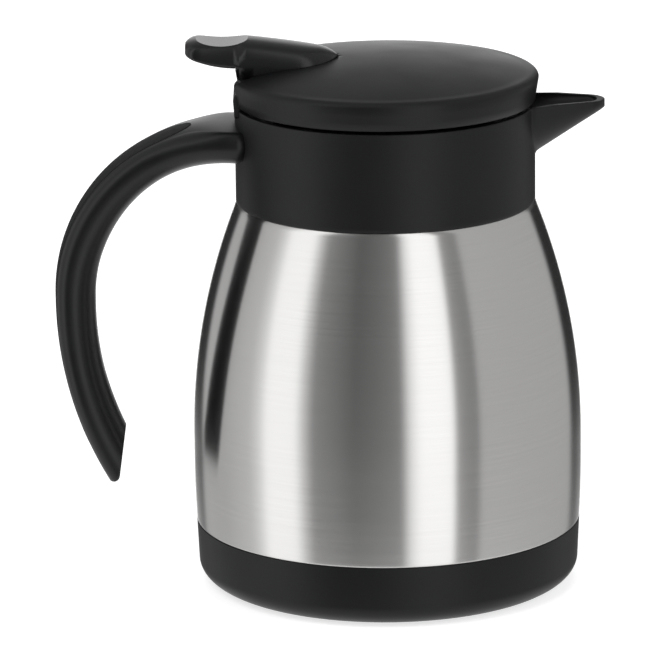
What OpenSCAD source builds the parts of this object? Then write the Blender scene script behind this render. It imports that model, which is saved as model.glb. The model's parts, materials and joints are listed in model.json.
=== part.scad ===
// Thermal carafe, one litre, with a flip lid, a thumb lever that lifts a pour valve, a beak
// spout and an open handle. Millimetres. The origin is the centre of the base on the surface
// that the carafe stands on, +Z is up, +X points to the spout and the handle is at -X.

/* [Flask] */
// Radius of the steel belly at its widest
belly_r = 63.1; // [61:0.1:66]
// Height of the widest part of the belly
belly_z = 42; // [36:0.5:48]
// How far the steel draws in from the belly to the base cup
seam_in = 0.6; // [0.3:0.1:2]
// Height of the seam between the steel and the base cup
seam_z = 20.7; // [17:0.1:24]
// Radius of the steel shoulder under the collar
shoulder_r = 48.1; // [47:0.1:50]
// Height of the shoulder, where the collar starts
shoulder_z = 126.4; // [118:0.1:132]
// Thickness of the steel sheet of both walls
sheet = 0.5; // [0.4:0.05:0.8]
// Width of the evacuated gap between the two steel walls
vacuum_gap = 4; // [3:0.1:5]
// Radius of the flask's mouth
mouth_r = 38.5; // [36.5:0.1:39]
// Length of the straight steel neck above the shoulder
neck_len = 22.6; // [20:0.1:26]

/* [Base] */
// Thickness of the base cup's wall
cup_wall = 2.2; // [1.6:0.1:3]
// Taper of the base cup from its seam to its rounded foot
cup_taper = 0.6; // [0.2:0.1:2]
// Width of the rounding at the foot
foot_round_w = 9.6; // [6:0.1:12]
// Height of the rounding at the foot
foot_round_h = 7.2; // [5:0.1:9]
// Radius of the non-slip pad
pad_r = 47; // [40:0.5:50]
// Thickness of the non-slip pad
pad_t = 1.6; // [1.2:0.1:2.4]

/* [Collar] */
// Outer radius of the collar
collar_r = 48.3; // [48:0.1:51]
// Height of the collar from the shoulder to its rim
collar_h = 31.8; // [29:0.1:36]
// Thickness of the collar's wall
collar_wall = 2.4; // [1.8:0.1:2.8]
// Thickness of the web that sits over the flask's rim
web_t = 2.5; // [2:0.1:3]
// Thickness of the neck gasket
gasket_t = 1.2; // [1:0.1:2]
// Reach of the spout's tip from the centre line
spout_reach = 70.7; // [66:0.1:76]
// Half width of the spout where it leaves the collar
spout_root_w = 11.9; // [10:0.1:14]
// Radius of the spout's rounded tip, seen from above
spout_tip_r = 6.2; // [5:0.1:7]
// Depth of the spout below the rim where it leaves the collar
spout_drop = 16.5; // [13:0.1:19]
// Thickness of the spout's walls
spout_wall = 1.5; // [1.2:0.1:2]

/* [Lid] */
// Radius of the lid at its widest, just under the top
lid_r = 49.5; // [48.8:0.1:51]
// Radius of the lid at its lower edge
lid_foot_r = 48.4; // [47.5:0.1:49]
// Gap between the collar's rim and the lid
lid_gap = 1.1; // [0.8:0.1:1.6]
// Height of the lid's side
lid_side_h = 7.3; // [6.8:0.1:8.4]
// Rise of the rounded shoulder between the side and the top
lid_shoulder_h = 2; // [1.2:0.1:2.4]
// Width of the rounded shoulder
lid_shoulder_w = 3.4; // [2:0.1:4]
// Rise of the lid's top from its shoulder to its centre
lid_dome = 5.4; // [4:0.1:6]
// Thickness of the lid's moulding
lid_wall = 2.2; // [1.8:0.1:2.6]
// Thickness of the plate that closes the lid from below
plate_t = 1.8; // [1.5:0.1:2.2]
// Outer radius of the plug at its top
plug_r = 36; // [34:0.1:36.2]
// Depth of the plug below the plate
plug_depth = 12.5; // [11:0.1:13.5]
// Taper of the plug's radius over its depth, which lets it swing out
plug_taper = 1.6; // [1.3:0.1:2.5]
// Thickness of the plug's wall and floor
plug_wall = 1.8; // [1.5:0.1:2.2]

/* [Hinge] */
// Distance of the hinge axis behind the centre line
hinge_x = 46; // [45.6:0.1:47]
// Height of the hinge axis above the collar's rim
hinge_rise = 3.1; // [3:0.1:3.5]
// Radius of the hinge barrel
barrel_r = 2.6; // [2.2:0.1:2.7]
// Radius of the hinge pin
hinge_pin_r = 1; // [0.8:0.05:1.2]
// Width of one ear on the collar
ear_w = 4; // [3:0.1:4.5]
// Length of the lid's middle barrel
knuckle_len = 14.2; // [12:0.1:16]

/* [Lever] */
// Half width of the thumb lever
lever_w = 10.2; // [9:0.1:11]
// Distance of the lever's rear end behind the centre line
lever_rear = 63.8; // [60:0.1:66]
// Distance of the lever's front tip behind the centre line
lever_tip = 15; // [14:0.1:16]
// Height of the lever's crest above the lid's lower edge
lever_crest = 20.7; // [19.5:0.1:22]
// Distance of the lever's pivot behind the centre line
pivot_x = 30; // [28:0.1:32]
// Height of the pivot above the lid's lower edge
pivot_rise = 6.5; // [6.2:0.1:7]
// Radius of the pivot pin
lever_pin_r = 1.25; // [1:0.05:1.5]
// Depth of the thumb hollow
dish_depth = 1.4; // [0.8:0.1:1.8]
// Half length of the thumb hollow
dish_len = 8.5; // [7:0.1:9]

/* [Valve] */
// Distance of the valve stem behind the centre line
stem_x = 20.8; // [20.5:0.1:21.5]
// Radius of the valve stem
stem_r = 2; // [1.6:0.1:2.3]
// Radius of the hole that the valve closes
port_r = 7.6; // [6:0.1:8]
// Radius of the valve's disc
valve_r = 10; // [9.4:0.1:10.2]
// Diameter of the valve spring's wire
spring_wire = 0.9; // [0.6:0.1:1.2]
// Turns of the valve spring
spring_turns = 5; // [4:1:7]
// Radius of the cap on the stem
cap_r = 3.2; // [2.8:0.1:3.4]

/* [Handle] */
// Distance of the handle's outermost point behind the centre line
handle_reach = 107; // [102:0.1:112]
// Height of the handle's outermost point
handle_mid_z = 95.6; // [92:0.1:99]
// Radius of the handle's outer line above that point
handle_top_r = 55.6; // [54:0.1:58]
// Radius of the handle's outer line below that point
handle_low_r = 119.4; // [110:0.1:130]
// Thickness of the handle at the grip
handle_t = 13; // [12:0.1:14]
// Half width of the handle at the grip
handle_w = 13.4; // [12.6:0.1:15]
// Half width of the handle where it meets the collar
handle_root_w = 17.9; // [16:0.1:19]
// Height of the handle's lower tip above the base
handle_tip_z = 34.3; // [32:0.1:38]
// Half width of the strip let into the handle's outer face
strip_w = 8; // [6:0.1:9]
// Depth of the strip
strip_t = 1.4; // [1:0.1:2]

/* [Hidden] */
$fn = 96;

fit = 0.05;                 // clearance of seated and running fits
gap = 0.3;                  // clearance between bodies that move past each other
eps = 0.01;                 // overlap that keeps a cut from ending on a face

// Heights that the pieces share
rim_z = shoulder_z + collar_h;                 // collar's rim
flask_top = shoulder_z + neck_len;             // top of the steel neck
lip_z = flask_top + sheet;                     // top of the flask's rolled lip
web_z = lip_z + gasket_t;                      // underside of the collar's web
web_top = web_z + web_t;
lid_z = rim_z + lid_gap;                       // lid's lower edge
lid_side_z = lid_z + lid_side_h;
lid_crown_z = lid_side_z + lid_shoulder_h;     // where the domed top starts
lid_crown_r = lid_r - lid_shoulder_w;
plate_z = lid_z + 0.2;                         // underside of the lid's plate
plate_r = lid_foot_r - lid_wall - 0.6;
plug_z = plate_z - plug_depth;                 // underside of the plug
plug_floor_z = plug_z + plug_wall;
hinge_z = rim_z + hinge_rise;
pivot_z = lid_z + pivot_rise;
crest_z = lid_z + lever_crest;

// Radii that the pieces share
seam_r = belly_r - seam_in;                    // steel where it meets the base cup
cup_foot_r = seam_r - cup_taper;               // base cup just above its rounded foot
tuck_r = seam_r - cup_wall;                    // steel inside the base cup
tuck_z = 6.8;                                  // lower edge of the steel
neck_out_r = mouth_r + 2.5;                    // outer wall's neck
flask_neck_r = mouth_r + sheet;
ring_r = mouth_r - 1.7;                        // bore of the neck ring
ring_flange_t = 1.9;
foot_z = 0.2;                                  // underside of the base cup

// ---------------------------------------------------------------- profiles
// Points of an arc about (cx, cz), from angle a to angle b in n steps.
function arc(cx, cz, r, a, b, n) =
    [for (i = [0 : n]) let (t = a + (b - a) * i / n) [cx + r * cos(t), cz + r * sin(t)]];
function mix(a, b, t) = a + (b - a) * t;
function clamp01(t) = min(1, max(0, t));
function ease(t) = let (u = clamp01(t)) u * u * (3 - 2 * u);
function rev(list) = [for (i = [len(list) - 1 : -1 : 0]) list[i]];

// The belly is two arcs that share a level tangent at its widest height.
low_d = belly_z - seam_z;
low_bow = belly_r - seam_r;
low_arc_r = (low_d * low_d + low_bow * low_bow) / (2 * low_bow);
flat_z = belly_z + 7;
high_d = shoulder_z - flat_z;
high_bow = belly_r - shoulder_r;
high_arc_r = (high_d * high_d + high_bow * high_bow) / (2 * high_bow);
function belly(z) =
    z < belly_z ? belly_r - low_arc_r + sqrt(pow(low_arc_r, 2) - pow(belly_z - z, 2)) :
    z < flat_z ? belly_r :
    belly_r - high_arc_r + sqrt(pow(high_arc_r, 2) - pow(z - flat_z, 2));
function belly_line(z0, z1, n, inset) =
    [for (i = [0 : n]) let (z = mix(z0, z1, i / n)) [belly(z) - inset, z]];

module revolve(points) { rotate_extrude(convexity = 8) polygon(points); }

// ---------------------------------------------------------------- flask
// Outer wall's line: tucked foot, seam step, belly, ledge under the collar and neck.
ledge_r = collar_r - collar_wall - 0.3;
cone_z = shoulder_z + 7.5;
function outer_line(t) = concat(
    [[tuck_r - t, tuck_z], [tuck_r - t, seam_z + fit + t], [belly(seam_z) - t, seam_z + fit + t]],
    belly_line(seam_z + 1.2, shoulder_z - 0.6 - t, 34, t),
    [[shoulder_r - 0.3 - t, shoulder_z - t], [ledge_r - t, shoulder_z - t]],
    [[ledge_r - 0.4 - t, shoulder_z + 2 - t], [neck_out_r - t, cone_z], [neck_out_r - t, flask_top]]);

module outer_shell() {
    color("silver")
    revolve(concat(outer_line(0), rev(outer_line(sheet))));
}

// Inner wall's line, from the centre of its dished floor to the rolled lip.
flask_floor_z = tuck_z + 7;
flask_inset = sheet + vacuum_gap;
function flask_line(t) = concat(
    [[0, flask_floor_z + 2.2 + t]],
    [[26, flask_floor_z + 1.4 + t], [44, flask_floor_z + 0.2 + t]],
    arc(belly(seam_z) - flask_inset - 9, flask_floor_z + 9, 9 - t, -80, -6, 8),
    belly_line(seam_z + 4, shoulder_z - 9, 28, flask_inset + t),
    [[flask_neck_r + 2.2 - t, shoulder_z - 1.5], [flask_neck_r - t, shoulder_z + 4],
     [flask_neck_r - t, flask_top]]);

module inner_flask() {
    color("gainsboro")
    revolve(concat(
        flask_line(0),
        [[neck_out_r, flask_top], [neck_out_r, lip_z], [mouth_r, lip_z]],
        rev(flask_line(sheet))));
}

plate_foot_z = tuck_z + 1;
module bottom_plate() {
    r = tuck_r - sheet - fit;
    color("silver")
    difference() {
        revolve([[0, plate_foot_z + 2], [34, plate_foot_z + 2], [40, plate_foot_z], [r, plate_foot_z],
                 [r, plate_foot_z + 2.6], [r - sheet, plate_foot_z + 2.6],
                 [r - sheet, plate_foot_z + sheet], [40.2, plate_foot_z + sheet],
                 [34.2, plate_foot_z + 2 + sheet], [0, plate_foot_z + 2 + sheet]]);
        translate([0, 0, plate_foot_z - 1]) cylinder(r = 1.5, h = 6);
    }
}

// Cap brazed over the hole through which the flask was evacuated.
module vacuum_seal() {
    color("silver")
    translate([0, 0, plate_foot_z]) {
        cylinder(r = 6, h = 2);
        translate([0, 0, 1]) cylinder(r = 1.45, h = 3.4);
    }
}

// ---------------------------------------------------------------- base
module base_cup() {
    flat_r = cup_foot_r - foot_round_w;
    foot = [for (i = [0 : 12]) let (a = 90 * i / 12)
        [flat_r + foot_round_w * sin(a), foot_z + foot_round_h * (1 - cos(a))]];
    floor_z = pad_t + 1.2;
    color("#26272a")
    difference() {
        revolve(concat(
            [[0, foot_z]], foot, [[seam_r, seam_z - 0.4], [seam_r - 0.3, seam_z]],
            [[tuck_r + fit, seam_z], [tuck_r + fit, tuck_z - fit]],
            // Shelf that carries the flask's lower edge.
            [[tuck_r - 3.5, tuck_z - fit], [tuck_r - 5, tuck_z - 1.5], [tuck_r - 8, floor_z],
             [0, floor_z]]));
        translate([0, 0, foot_z - eps]) cylinder(r = pad_r + fit, h = pad_t - foot_z + eps);
    }
}

module base_pad() {
    color("#1b1b1d")
    revolve([[0, 0], [pad_r - 0.5, 0], [pad_r, 0.5], [pad_r, pad_t - fit], [0, pad_t - fit]]);
}

// ---------------------------------------------------------------- collar
spout_nose_x = spout_reach - spout_tip_r;
channel_z = web_top + 0.1;                     // floor of the pouring channel at the collar

// Half width of the spout at x, from its root at the collar: straight flanks that run
// tangent into the round tip.
spout_a = atan(spout_root_w / (spout_nose_x - collar_r))
    - asin(spout_tip_r / norm([spout_nose_x - collar_r, spout_root_w]));
function spout_half(x) = x < spout_nose_x + spout_tip_r * sin(spout_a)
    ? spout_root_w - (x - collar_r) * tan(spout_a)
    : sqrt(max(0.01, pow(spout_tip_r, 2) - pow(x - spout_nose_x, 2)));
function spout_rim(x) = rim_z + 0.55 * clamp01((x - collar_r) / 8);
function spout_low(x) = mix(rim_z - spout_drop, rim_z - 2.2, (x - collar_r) / (spout_reach - collar_r));
// Floor of the channel, which rises to the lip.
function channel_low(x) =
    mix(channel_z, rim_z - 1.1, clamp01((x - ledge_r) / (spout_nose_x + 3 - ledge_r)));

// Section across the spout: level rim and a rounded keel.
function keel(x, w, top, low, round) = concat(
    [[x, w, top]],
    [for (i = [0 : 14]) let (a = 180 * i / 14)
        [x, w * cos(a), round - (round - low) * pow(sin(a), 0.9)]],
    [[x, -w, top]]);
function tip_stations(x0, x1, x2, n, m) = concat(
    [for (i = [0 : n - 1]) mix(x0, x1, i / n)],
    [for (i = [0 : m]) mix(x1, x2, sin(90 * i / m))]);

module spout_outside() {
    loft([for (x = tip_stations(collar_r - 4, spout_nose_x, spout_reach - 0.02, 8, 10))
        keel(x, spout_half(x), spout_rim(x), spout_low(x), spout_rim(x) - 0.9)]);
}

module spout_channel() {
    loft([for (x = tip_stations(ledge_r - 4, spout_nose_x - 1, spout_reach - 2.6, 8, 8))
        let (w = x < spout_nose_x - 1 ? spout_half(x) - spout_wall
            : (spout_half(spout_nose_x - 1) - spout_wall)
                * sqrt(max(0.003, 1 - pow((x - spout_nose_x + 1) / (spout_tip_r - 1.6), 2))))
        keel(x, w, rim_z + 3, channel_low(x), spout_rim(x) - 0.4)]);
}

// Hollow that keeps the spout's root an even wall, open to the inside of the collar.
module spout_core() {
    loft([for (x = [ledge_r - 4, collar_r, collar_r + 3, collar_r + 6, collar_r + 9])
        let (d = 2.4)
        keel(x, spout_half(x) - 2.2, channel_low(x) - d, min(spout_low(x) + d, channel_low(x) - d - 0.4),
             channel_low(x) - d - 0.2)]);
}

ear_y = knuckle_len / 2 + gap;                 // inner face of an ear
notch_w = ear_y + ear_w + 0.4;                 // half width of the lid's rear notch
notch_x = hinge_x - barrel_r - 0.5;            // how far the notch cuts into the lid

module hinge_ears() {
    for (s = [-1, 1]) difference() {
        union() {
            translate([-hinge_x, s * (ear_y + ear_w / 2), hinge_z])
                rotate([90, 0, 0]) cylinder(r = barrel_r, h = ear_w, center = true, $fn = 48);
            translate([-hinge_x - barrel_r + 0.4, s * (ear_y + ear_w / 2) - ear_w / 2, rim_z - 2.4])
                cube([2 * barrel_r - 0.4, ear_w, hinge_rise + 2.4]);
        }
        // Clears the lid's middle barrel and keeps the ear inside the collar's outline.
        difference() {
            translate([-hinge_x - 6, -25, rim_z - 4]) cube([12, 50, 4]);
            translate([0, 0, rim_z - 5]) cylinder(r = collar_r, h = 6);
        }
    }
}

root_t = 11.3;                                 // thickness of the handle's root
screw_z = handle_mid_z + handle_top_r - root_t / 2;
screw_len = 14.6;                              // from the seat into the handle
screw_y = 8;
screw_seat_x = 43.7;                           // plane that the screw heads bear on
screw_r = 1.5;

module collar() {
    wall_in = collar_r - collar_wall;
    web_in = flask_neck_r + 0.3;
    color("#2a2b2d")
    difference() {
        union() {
            revolve([[wall_in, shoulder_z + fit], [collar_r - 0.4, shoulder_z + fit],
                     [collar_r, shoulder_z + 0.5], [collar_r, rim_z - 0.4], [collar_r - 0.4, rim_z],
                     [wall_in + 0.3, rim_z], [wall_in, rim_z - 0.4], [wall_in, web_top],
                     [web_in, web_top], [web_in, web_z], [wall_in, web_z]]);
            difference() {
                spout_outside();
                translate([0, 0, shoulder_z]) cylinder(r = wall_in + 0.2, h = collar_h + 2);
            }
            hinge_ears();
            // Seats for the screw heads.
            for (s = [-1, 1]) translate([-collar_r + 1, s * screw_y, screw_z]) rotate([0, 90, 0])
                cylinder(r = 3.4, h = collar_r - 1 - screw_seat_x, $fn = 48);
        }
        spout_channel();
        spout_core();
        translate([-hinge_x, 0, hinge_z]) rotate([90, 0, 0])
            cylinder(r = hinge_pin_r + 0.02, h = 60, center = true, $fn = 48);
        for (s = [-1, 1]) translate([-collar_r - 2, s * screw_y, screw_z]) rotate([0, 90, 0])
            cylinder(r = screw_r + 0.15, h = collar_r + 3 - neck_out_r, $fn = 48);
    }
}

module neck_gasket() {
    color("#e6e4dc")
    revolve([[mouth_r + 0.7, lip_z + fit], [neck_out_r, lip_z + fit], [neck_out_r, web_z - fit],
             [mouth_r + 0.7, web_z - fit]]);
}

// Ring that lines the mouth, clamps the web on the flask and seats the plug's gasket.
module neck_ring() {
    top = web_top + ring_flange_t;
    color("#2f3032")
    revolve([[ring_r, flask_top - 11], [mouth_r - 0.6, flask_top - 11], [mouth_r - fit, flask_top - 10],
             [mouth_r - fit, web_top + fit], [neck_out_r + 1.6, web_top + fit],
             [neck_out_r + 1.6, top - 0.5], [neck_out_r + 1.1, top], [ring_r + 0.6, top],
             [ring_r, top - 0.6]]);
}

// ---------------------------------------------------------------- handle
top_c = [-handle_reach + handle_top_r, handle_mid_z];       // centre of the upper arc
low_c = [-handle_reach + handle_low_r, handle_mid_z];       // centre of the lower arc
root_a = 86;                                                // where the upper arc starts
tip_a = 180 + asin((handle_mid_z - handle_tip_z) / handle_low_r);
upper_len = handle_top_r * (180 - root_a);
lower_len = handle_low_r * (tip_a - 180);
bend_s = upper_len / (upper_len + lower_len);               // share of the line in the upper arc

// A point on the handle's outer line and the direction that points out of the handle there.
function outer_angle(s) = s < bend_s ? mix(root_a, 180, s / bend_s)
                                     : mix(180, tip_a, (s - bend_s) / (1 - bend_s));
function outer_point(s) = let (a = outer_angle(s))
    s < bend_s ? top_c + handle_top_r * [cos(a), sin(a)] : low_c + handle_low_r * [cos(a), sin(a)];

// Thickness and half width along the handle.
function handle_thick(s) = mix(root_t, handle_t, ease((s - 0.1) / 0.36)) - 0.85 * ease((s - 0.53) / 0.27);
function handle_half(s) = mix(handle_root_w, handle_w, ease(s / 0.21)) - 1.9 * ease((s - 0.79) / 0.27);
face_w = 0.83;                                              // flat outer face, share of the width

// Half of the handle's section: crisp edge at the outer face, full side and rounded inner face.
function half_section(w, t) = concat(
    [for (i = [0 : 3]) let (a = 60 * (3 - i) / 3)
        [w * mix(1, face_w, (1 - cos(a)) / 0.5), t * (-0.40 + 0.40 * sin(a) / sin(60))]],
    [for (i = [1 : 8]) let (a = 90 * i / 8)
        [w * pow(cos(a), 0.8), -t * (0.40 + 0.60 * pow(sin(a), 0.9))]]);
function section_ring(half) = concat(half, [for (i = [len(half) - 2 : -1 : 0]) [-half[i][0], half[i][1]]]);

// Section points [y, n] placed at a point of the handle's line: n runs along the outward normal.
function placed(ring, s) = let (p = outer_point(s), a = outer_angle(s))
    [for (q = rev(ring)) [p[0] + q[1] * cos(a), q[0], p[1] + q[1] * sin(a)]];

// Closed surface through equal rings of points.
module loft(rings) {
    n = len(rings[0]);
    m = len(rings);
    points = [for (r = rings) for (p = r) p];
    sides = [for (j = [0 : m - 2]) for (i = [0 : n - 1]) let (k = (i + 1) % n)
        each [[j * n + i, j * n + k, (j + 1) * n + k], [j * n + i, (j + 1) * n + k, (j + 1) * n + i]]];
    polyhedron(points, concat([[for (i = [n - 1 : -1 : 0]) i]], sides,
                              [[for (i = [0 : n - 1]) (m - 1) * n + i]]), convexity = 6);
}

handle_steps = 44;
module handle_solid() {
    loft([for (j = [0 : handle_steps]) let (s = j / handle_steps)
        placed(section_ring(half_section(handle_half(s), handle_thick(s))), s)]);
}

// The strip follows the outer face, with round ends.
strip_s0 = 0.1;
strip_s1 = 0.93;
function strip_half(s, extra) = let (
    u = (s - strip_s0) / 0.055, v = (strip_s1 - s) / 0.05,
    r = min(clamp01(u), clamp01(v)))
    (strip_w + extra) * sqrt(max(0.0004, 1 - pow(1 - r, 2)));
function strip_ring(s, extra, top) = let (w = strip_half(s, extra))
    [[w, top], [w, -strip_t - extra], [-w, -strip_t - extra], [-w, top]];
function strip_stations(extra) = concat(
    [for (i = [0 : 6]) strip_s0 - extra / 160 + 0.055 * pow(i / 6, 2)],
    [for (i = [1 : 29]) mix(strip_s0 + 0.055, strip_s1 - 0.05, i / 30)],
    [for (i = [0 : 6]) strip_s1 + extra / 160 - 0.05 * pow(1 - i / 6, 2)]);
module strip_solid(extra, top) {
    loft([for (s = strip_stations(extra)) placed(strip_ring(s, extra, top), s)]);
}

// Screw bosses and the end cut of the handle.
cut_top = [-84.8, 54.5];
cut_low = [-87.1, 38];
cut_box = [30, 60, 60];
module handle() {
    color("#2b2c2e")
    difference() {
        handle_solid();
        // Seat on the collar.
        translate([0, 0, shoulder_z - 2]) cylinder(r = collar_r + fit, h = collar_h + 8);
        strip_solid(0.1, 3);
        // Free end, cut off steeply on the side that faces the body.
        let (d = cut_low - cut_top, a = atan2(-d[0], -d[1]))
            translate([cut_top[0], -cut_box[1] / 2, cut_top[1]]) rotate([0, a, 0])
                translate([0, 0, -0.75 * cut_box[2]]) cube(cut_box);
        for (s = [-1, 1]) translate([-screw_seat_x - screw_len - 0.6, s * screw_y, screw_z])
            rotate([0, 90, 0]) cylinder(r = screw_r, h = screw_len + 0.6, $fn = 48);
    }
}

module handle_strip() {
    color("#1d1d1f") strip_solid(0, 0.15);
}

module handle_screws() {
    color("silver")
    for (s = [-1, 1]) translate([-screw_seat_x + fit, s * screw_y, screw_z]) rotate([0, -90, 0]) {
        translate([0, 0, -1.5]) cylinder(r = 2.8, h = 1.5, $fn = 48);
        cylinder(r = screw_r - 0.1, h = screw_len, $fn = 48);
    }
}

module hinge_pin() {
    color("silver")
    translate([-hinge_x, 0, hinge_z]) rotate([90, 0, 0])
        cylinder(r = hinge_pin_r, h = 2 * (ear_y + ear_w) - 0.4, center = true, $fn = 48);
}

// ---------------------------------------------------------------- lid
// Height of the lid's top at a distance r from the centre line.
function dome(r) = lid_crown_z + lid_dome * (1 - pow(r / lid_crown_r, 2));

// Outline of the lever seen from above, grown by e: parallel sides and a rounded bow.
bow_x = lever_tip + 12;
function bow(e) = let (w = lever_w + e, l = bow_x - lever_tip + e, r = (w * w + l * l) / (2 * w),
                       a = asin(l / r))
    [for (i = [0 : 14]) let (t = a * i / 14) [-bow_x + r * sin(t), r * cos(t) - r + w]];
function lever_outline(e, rear) = let (b = bow(e))
    concat([[-rear, lever_w + e]], b, [for (p = rev(b)) [p[0], -p[1]]], [[-rear, -lever_w - e]]);

pocket_e = 0.45;                               // gap round the lever
pocket_z = pivot_z - 2.7;                      // floor of the pocket
tub_wall = 1.6;
boss_r = 2.3;                                  // lever's pivot boss
screw_ring_r = 40;
screw_angles = [0, 128, -128];
guide_r = 3.8;                                 // stem guide

// Space inside the lid's moulding.
module lid_cavity() {
    r = lid_foot_r - lid_wall;
    difference() {
        revolve([[0, lid_z - eps], [r, lid_z - eps], [lid_r - lid_wall, lid_side_z - 1],
                 [lid_crown_r - 1, lid_side_z - 0.4],
                 [lid_crown_r - 9, dome(lid_crown_r - 9) - lid_wall],
                 [22, dome(22) - lid_wall], [10, dome(10) - lid_wall], [0, dome(0) - lid_wall]]);
        // Tub under the lever.
        translate([0, 0, plate_z + plate_t + 0.2]) linear_extrude(20)
            polygon(lever_outline(pocket_e + tub_wall, 60));
        // Walls round the hinge notch.
        translate([-60, -notch_w - lid_wall, lid_z - 1])
            cube([60 - notch_x + lid_wall, 2 * (notch_w + lid_wall), 20]);
        // Screw bosses.
        for (a = screw_angles) rotate(a) translate([screw_ring_r, 0, plate_z + plate_t + fit])
            cylinder(r = 3, h = 12, $fn = 48);
        // Bosses at the ends of the lever's pin.
        for (s = [-1, 1]) translate([-pivot_x, s * (lever_w + pocket_e + 2), pivot_z]) rotate([90, 0, 0])
            cylinder(r = 3, h = 4, center = true, $fn = 48);
    }
}

module lid_cover() {
    shoulder = [for (i = [0 : 6]) let (a = 90 * i / 6)
        [lid_crown_r + lid_shoulder_w * cos(a), lid_side_z + lid_shoulder_h * sin(a)]];
    top = [for (i = [1 : 14]) let (r = lid_crown_r * (1 - i / 14)) [r, dome(r)]];
    color("#3a3b3d")
    difference() {
        union() {
            difference() {
                revolve(concat([[0, lid_z], [lid_foot_r - 0.3, lid_z], [lid_foot_r, lid_z + 0.3]],
                               shoulder, top));
                lid_cavity();
                // Rear notch for the hinge.
                translate([-60, -notch_w, lid_z - 1]) cube([60 - notch_x, 2 * notch_w, 30]);
                // Pocket that the lever works in, open to the rear.
                translate([0, 0, pocket_z]) linear_extrude(30) polygon(lever_outline(pocket_e, 60));
            }
            // Middle barrel of the hinge, on a web from the notch's wall.
            translate([-hinge_x, 0, hinge_z]) rotate([90, 0, 0])
                cylinder(r = barrel_r, h = knuckle_len, center = true, $fn = 48);
            translate([-hinge_x, -knuckle_len / 2, hinge_z - 1.4])
                cube([hinge_x - notch_x + 0.5, knuckle_len, 3]);
        }
        translate([-hinge_x, 0, hinge_z]) rotate([90, 0, 0])
            cylinder(r = hinge_pin_r + fit, h = knuckle_len + 1, center = true, $fn = 48);
        translate([-pivot_x, 0, pivot_z]) rotate([90, 0, 0])
            cylinder(r = lever_pin_r + 0.02, h = 2 * (lever_w + pocket_e + 3), center = true, $fn = 48);
        // Hole for the valve stem.
        translate([-stem_x, 0, lid_z]) cylinder(r = guide_r + 0.2, h = 10, $fn = 48);
        for (a = screw_angles) rotate(a) translate([screw_ring_r, 0, lid_z])
            cylinder(r = 1.2, h = 6, $fn = 48);
    }
}

module lid_underplate() {
    color("#2f3032")
    difference() {
        union() {
            translate([0, 0, plate_z]) cylinder(r = plate_r, h = plate_t);
            // Tube that guides the stem through the floor of the lever's pocket.
            translate([-stem_x, 0, plate_z]) cylinder(r = guide_r, h = pocket_z - plate_z + 0.6, $fn = 48);
        }
        // Clears the walls round the hinge notch.
        let (w = notch_w + lid_wall + 0.2, x = notch_x - lid_wall - 0.2)
            translate([-lid_r, -w, plate_z - 1]) cube([lid_r - x, 2 * w, 6]);
        translate([-stem_x, 0, plate_z - 1]) cylinder(r = stem_r + 0.08, h = 12, $fn = 48);
        for (a = screw_angles) rotate(a) translate([screw_ring_r, 0, plate_z - 1])
            cylinder(r = 1.7, h = 6, $fn = 48);
        // Groove that the plug's wall is welded into.
        difference() {
            translate([0, 0, plate_z - 1]) cylinder(r = plug_r + fit, h = 1.6);
            translate([0, 0, plate_z - 2]) cylinder(r = plug_r - plug_wall - fit, h = 3);
        }
    }
}

window_w = 9;                                  // half width of the plug's outlet
module lid_plug() {
    top = plate_z + 0.6 - fit;
    r_low = plug_r - plug_taper;
    straight_z = web_top + ring_flange_t + 0.2;
    seal_z = plug_seal_z;
    color("#2f3032")
    difference() {
        revolve([[0, plug_z], [r_low - 1, plug_z], [r_low, plug_z + 1], [plug_r - 0.9, seal_z],
                 [plug_r - 2, seal_z], [plug_r - 2, seal_z + 1.6], [plug_r - 0.5, seal_z + 1.6],
                 [plug_r, straight_z], [plug_r, top], [plug_r - plug_wall, top],
                 [plug_r - plug_wall, seal_z + 2.6], [plug_r - plug_wall - 1.8, seal_z + 1.6],
                 [r_low - plug_wall - 1.2, plug_floor_z], [0, plug_floor_z]]);
        translate([-stem_x, 0, plug_z - 1]) cylinder(r = port_r, h = 5, $fn = 64);
        // Outlet to the pouring well.
        translate([20, -window_w, straight_z]) cube([30, 2 * window_w, plate_z - straight_z - 0.3]);
    }
}

plug_seal_z = web_top + ring_flange_t - 2.6;   // groove of the plug's gasket
module plug_gasket() {
    color("#e6e4dc")
    revolve([[plug_r - 1.95, plug_seal_z + fit], [plug_r - 0.6, plug_seal_z + fit],
             [min(ring_r, mouth_r) - 0.32, plug_seal_z + 0.9], [plug_r - 0.6, plug_seal_z + 1.55],
             [plug_r - 1.95, plug_seal_z + 1.55]]);
}

foam_x = 8;                                    // the foam starts this far behind the centre line
module lid_foam() {
    z0 = plate_z + plate_t + 0.2;
    r = lid_foot_r - lid_wall - 4;
    color("#e9e2c8")
    difference() {
        revolve([[0, z0], [r, z0], [r, lid_side_z - 2], [20, lid_side_z - 0.6], [0, lid_side_z - 0.6]]);
        translate([-lid_r, -lid_r, z0 - 1]) cube([lid_r - foam_x, 2 * lid_r, 20]);
        for (a = screw_angles) rotate(a) translate([screw_ring_r, 0, z0 - 1])
            cylinder(r = 3.3, h = 12, $fn = 48);
    }
}

module lid_screws() {
    color("silver")
    for (a = screw_angles) rotate(a) translate([screw_ring_r, 0, plate_z]) {
        translate([0, 0, -0.9]) cylinder(r = 2.4, h = 0.9 - fit, $fn = 48);
        translate([0, 0, -0.5]) cylinder(r = 1.15, h = plate_t + 4.2, $fn = 48);
    }
}

module lever_pin() {
    color("silver")
    translate([-pivot_x, 0, pivot_z]) rotate([90, 0, 0])
        cylinder(r = lever_pin_r, h = 2 * (lever_w + pocket_e + 2.6), center = true, $fn = 48);
}

// ---------------------------------------------------------------- thumb lever
stern_len = 3.6;
skirt_x = hinge_x + 0.5;                       // rear face of the lever's skirt
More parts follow.
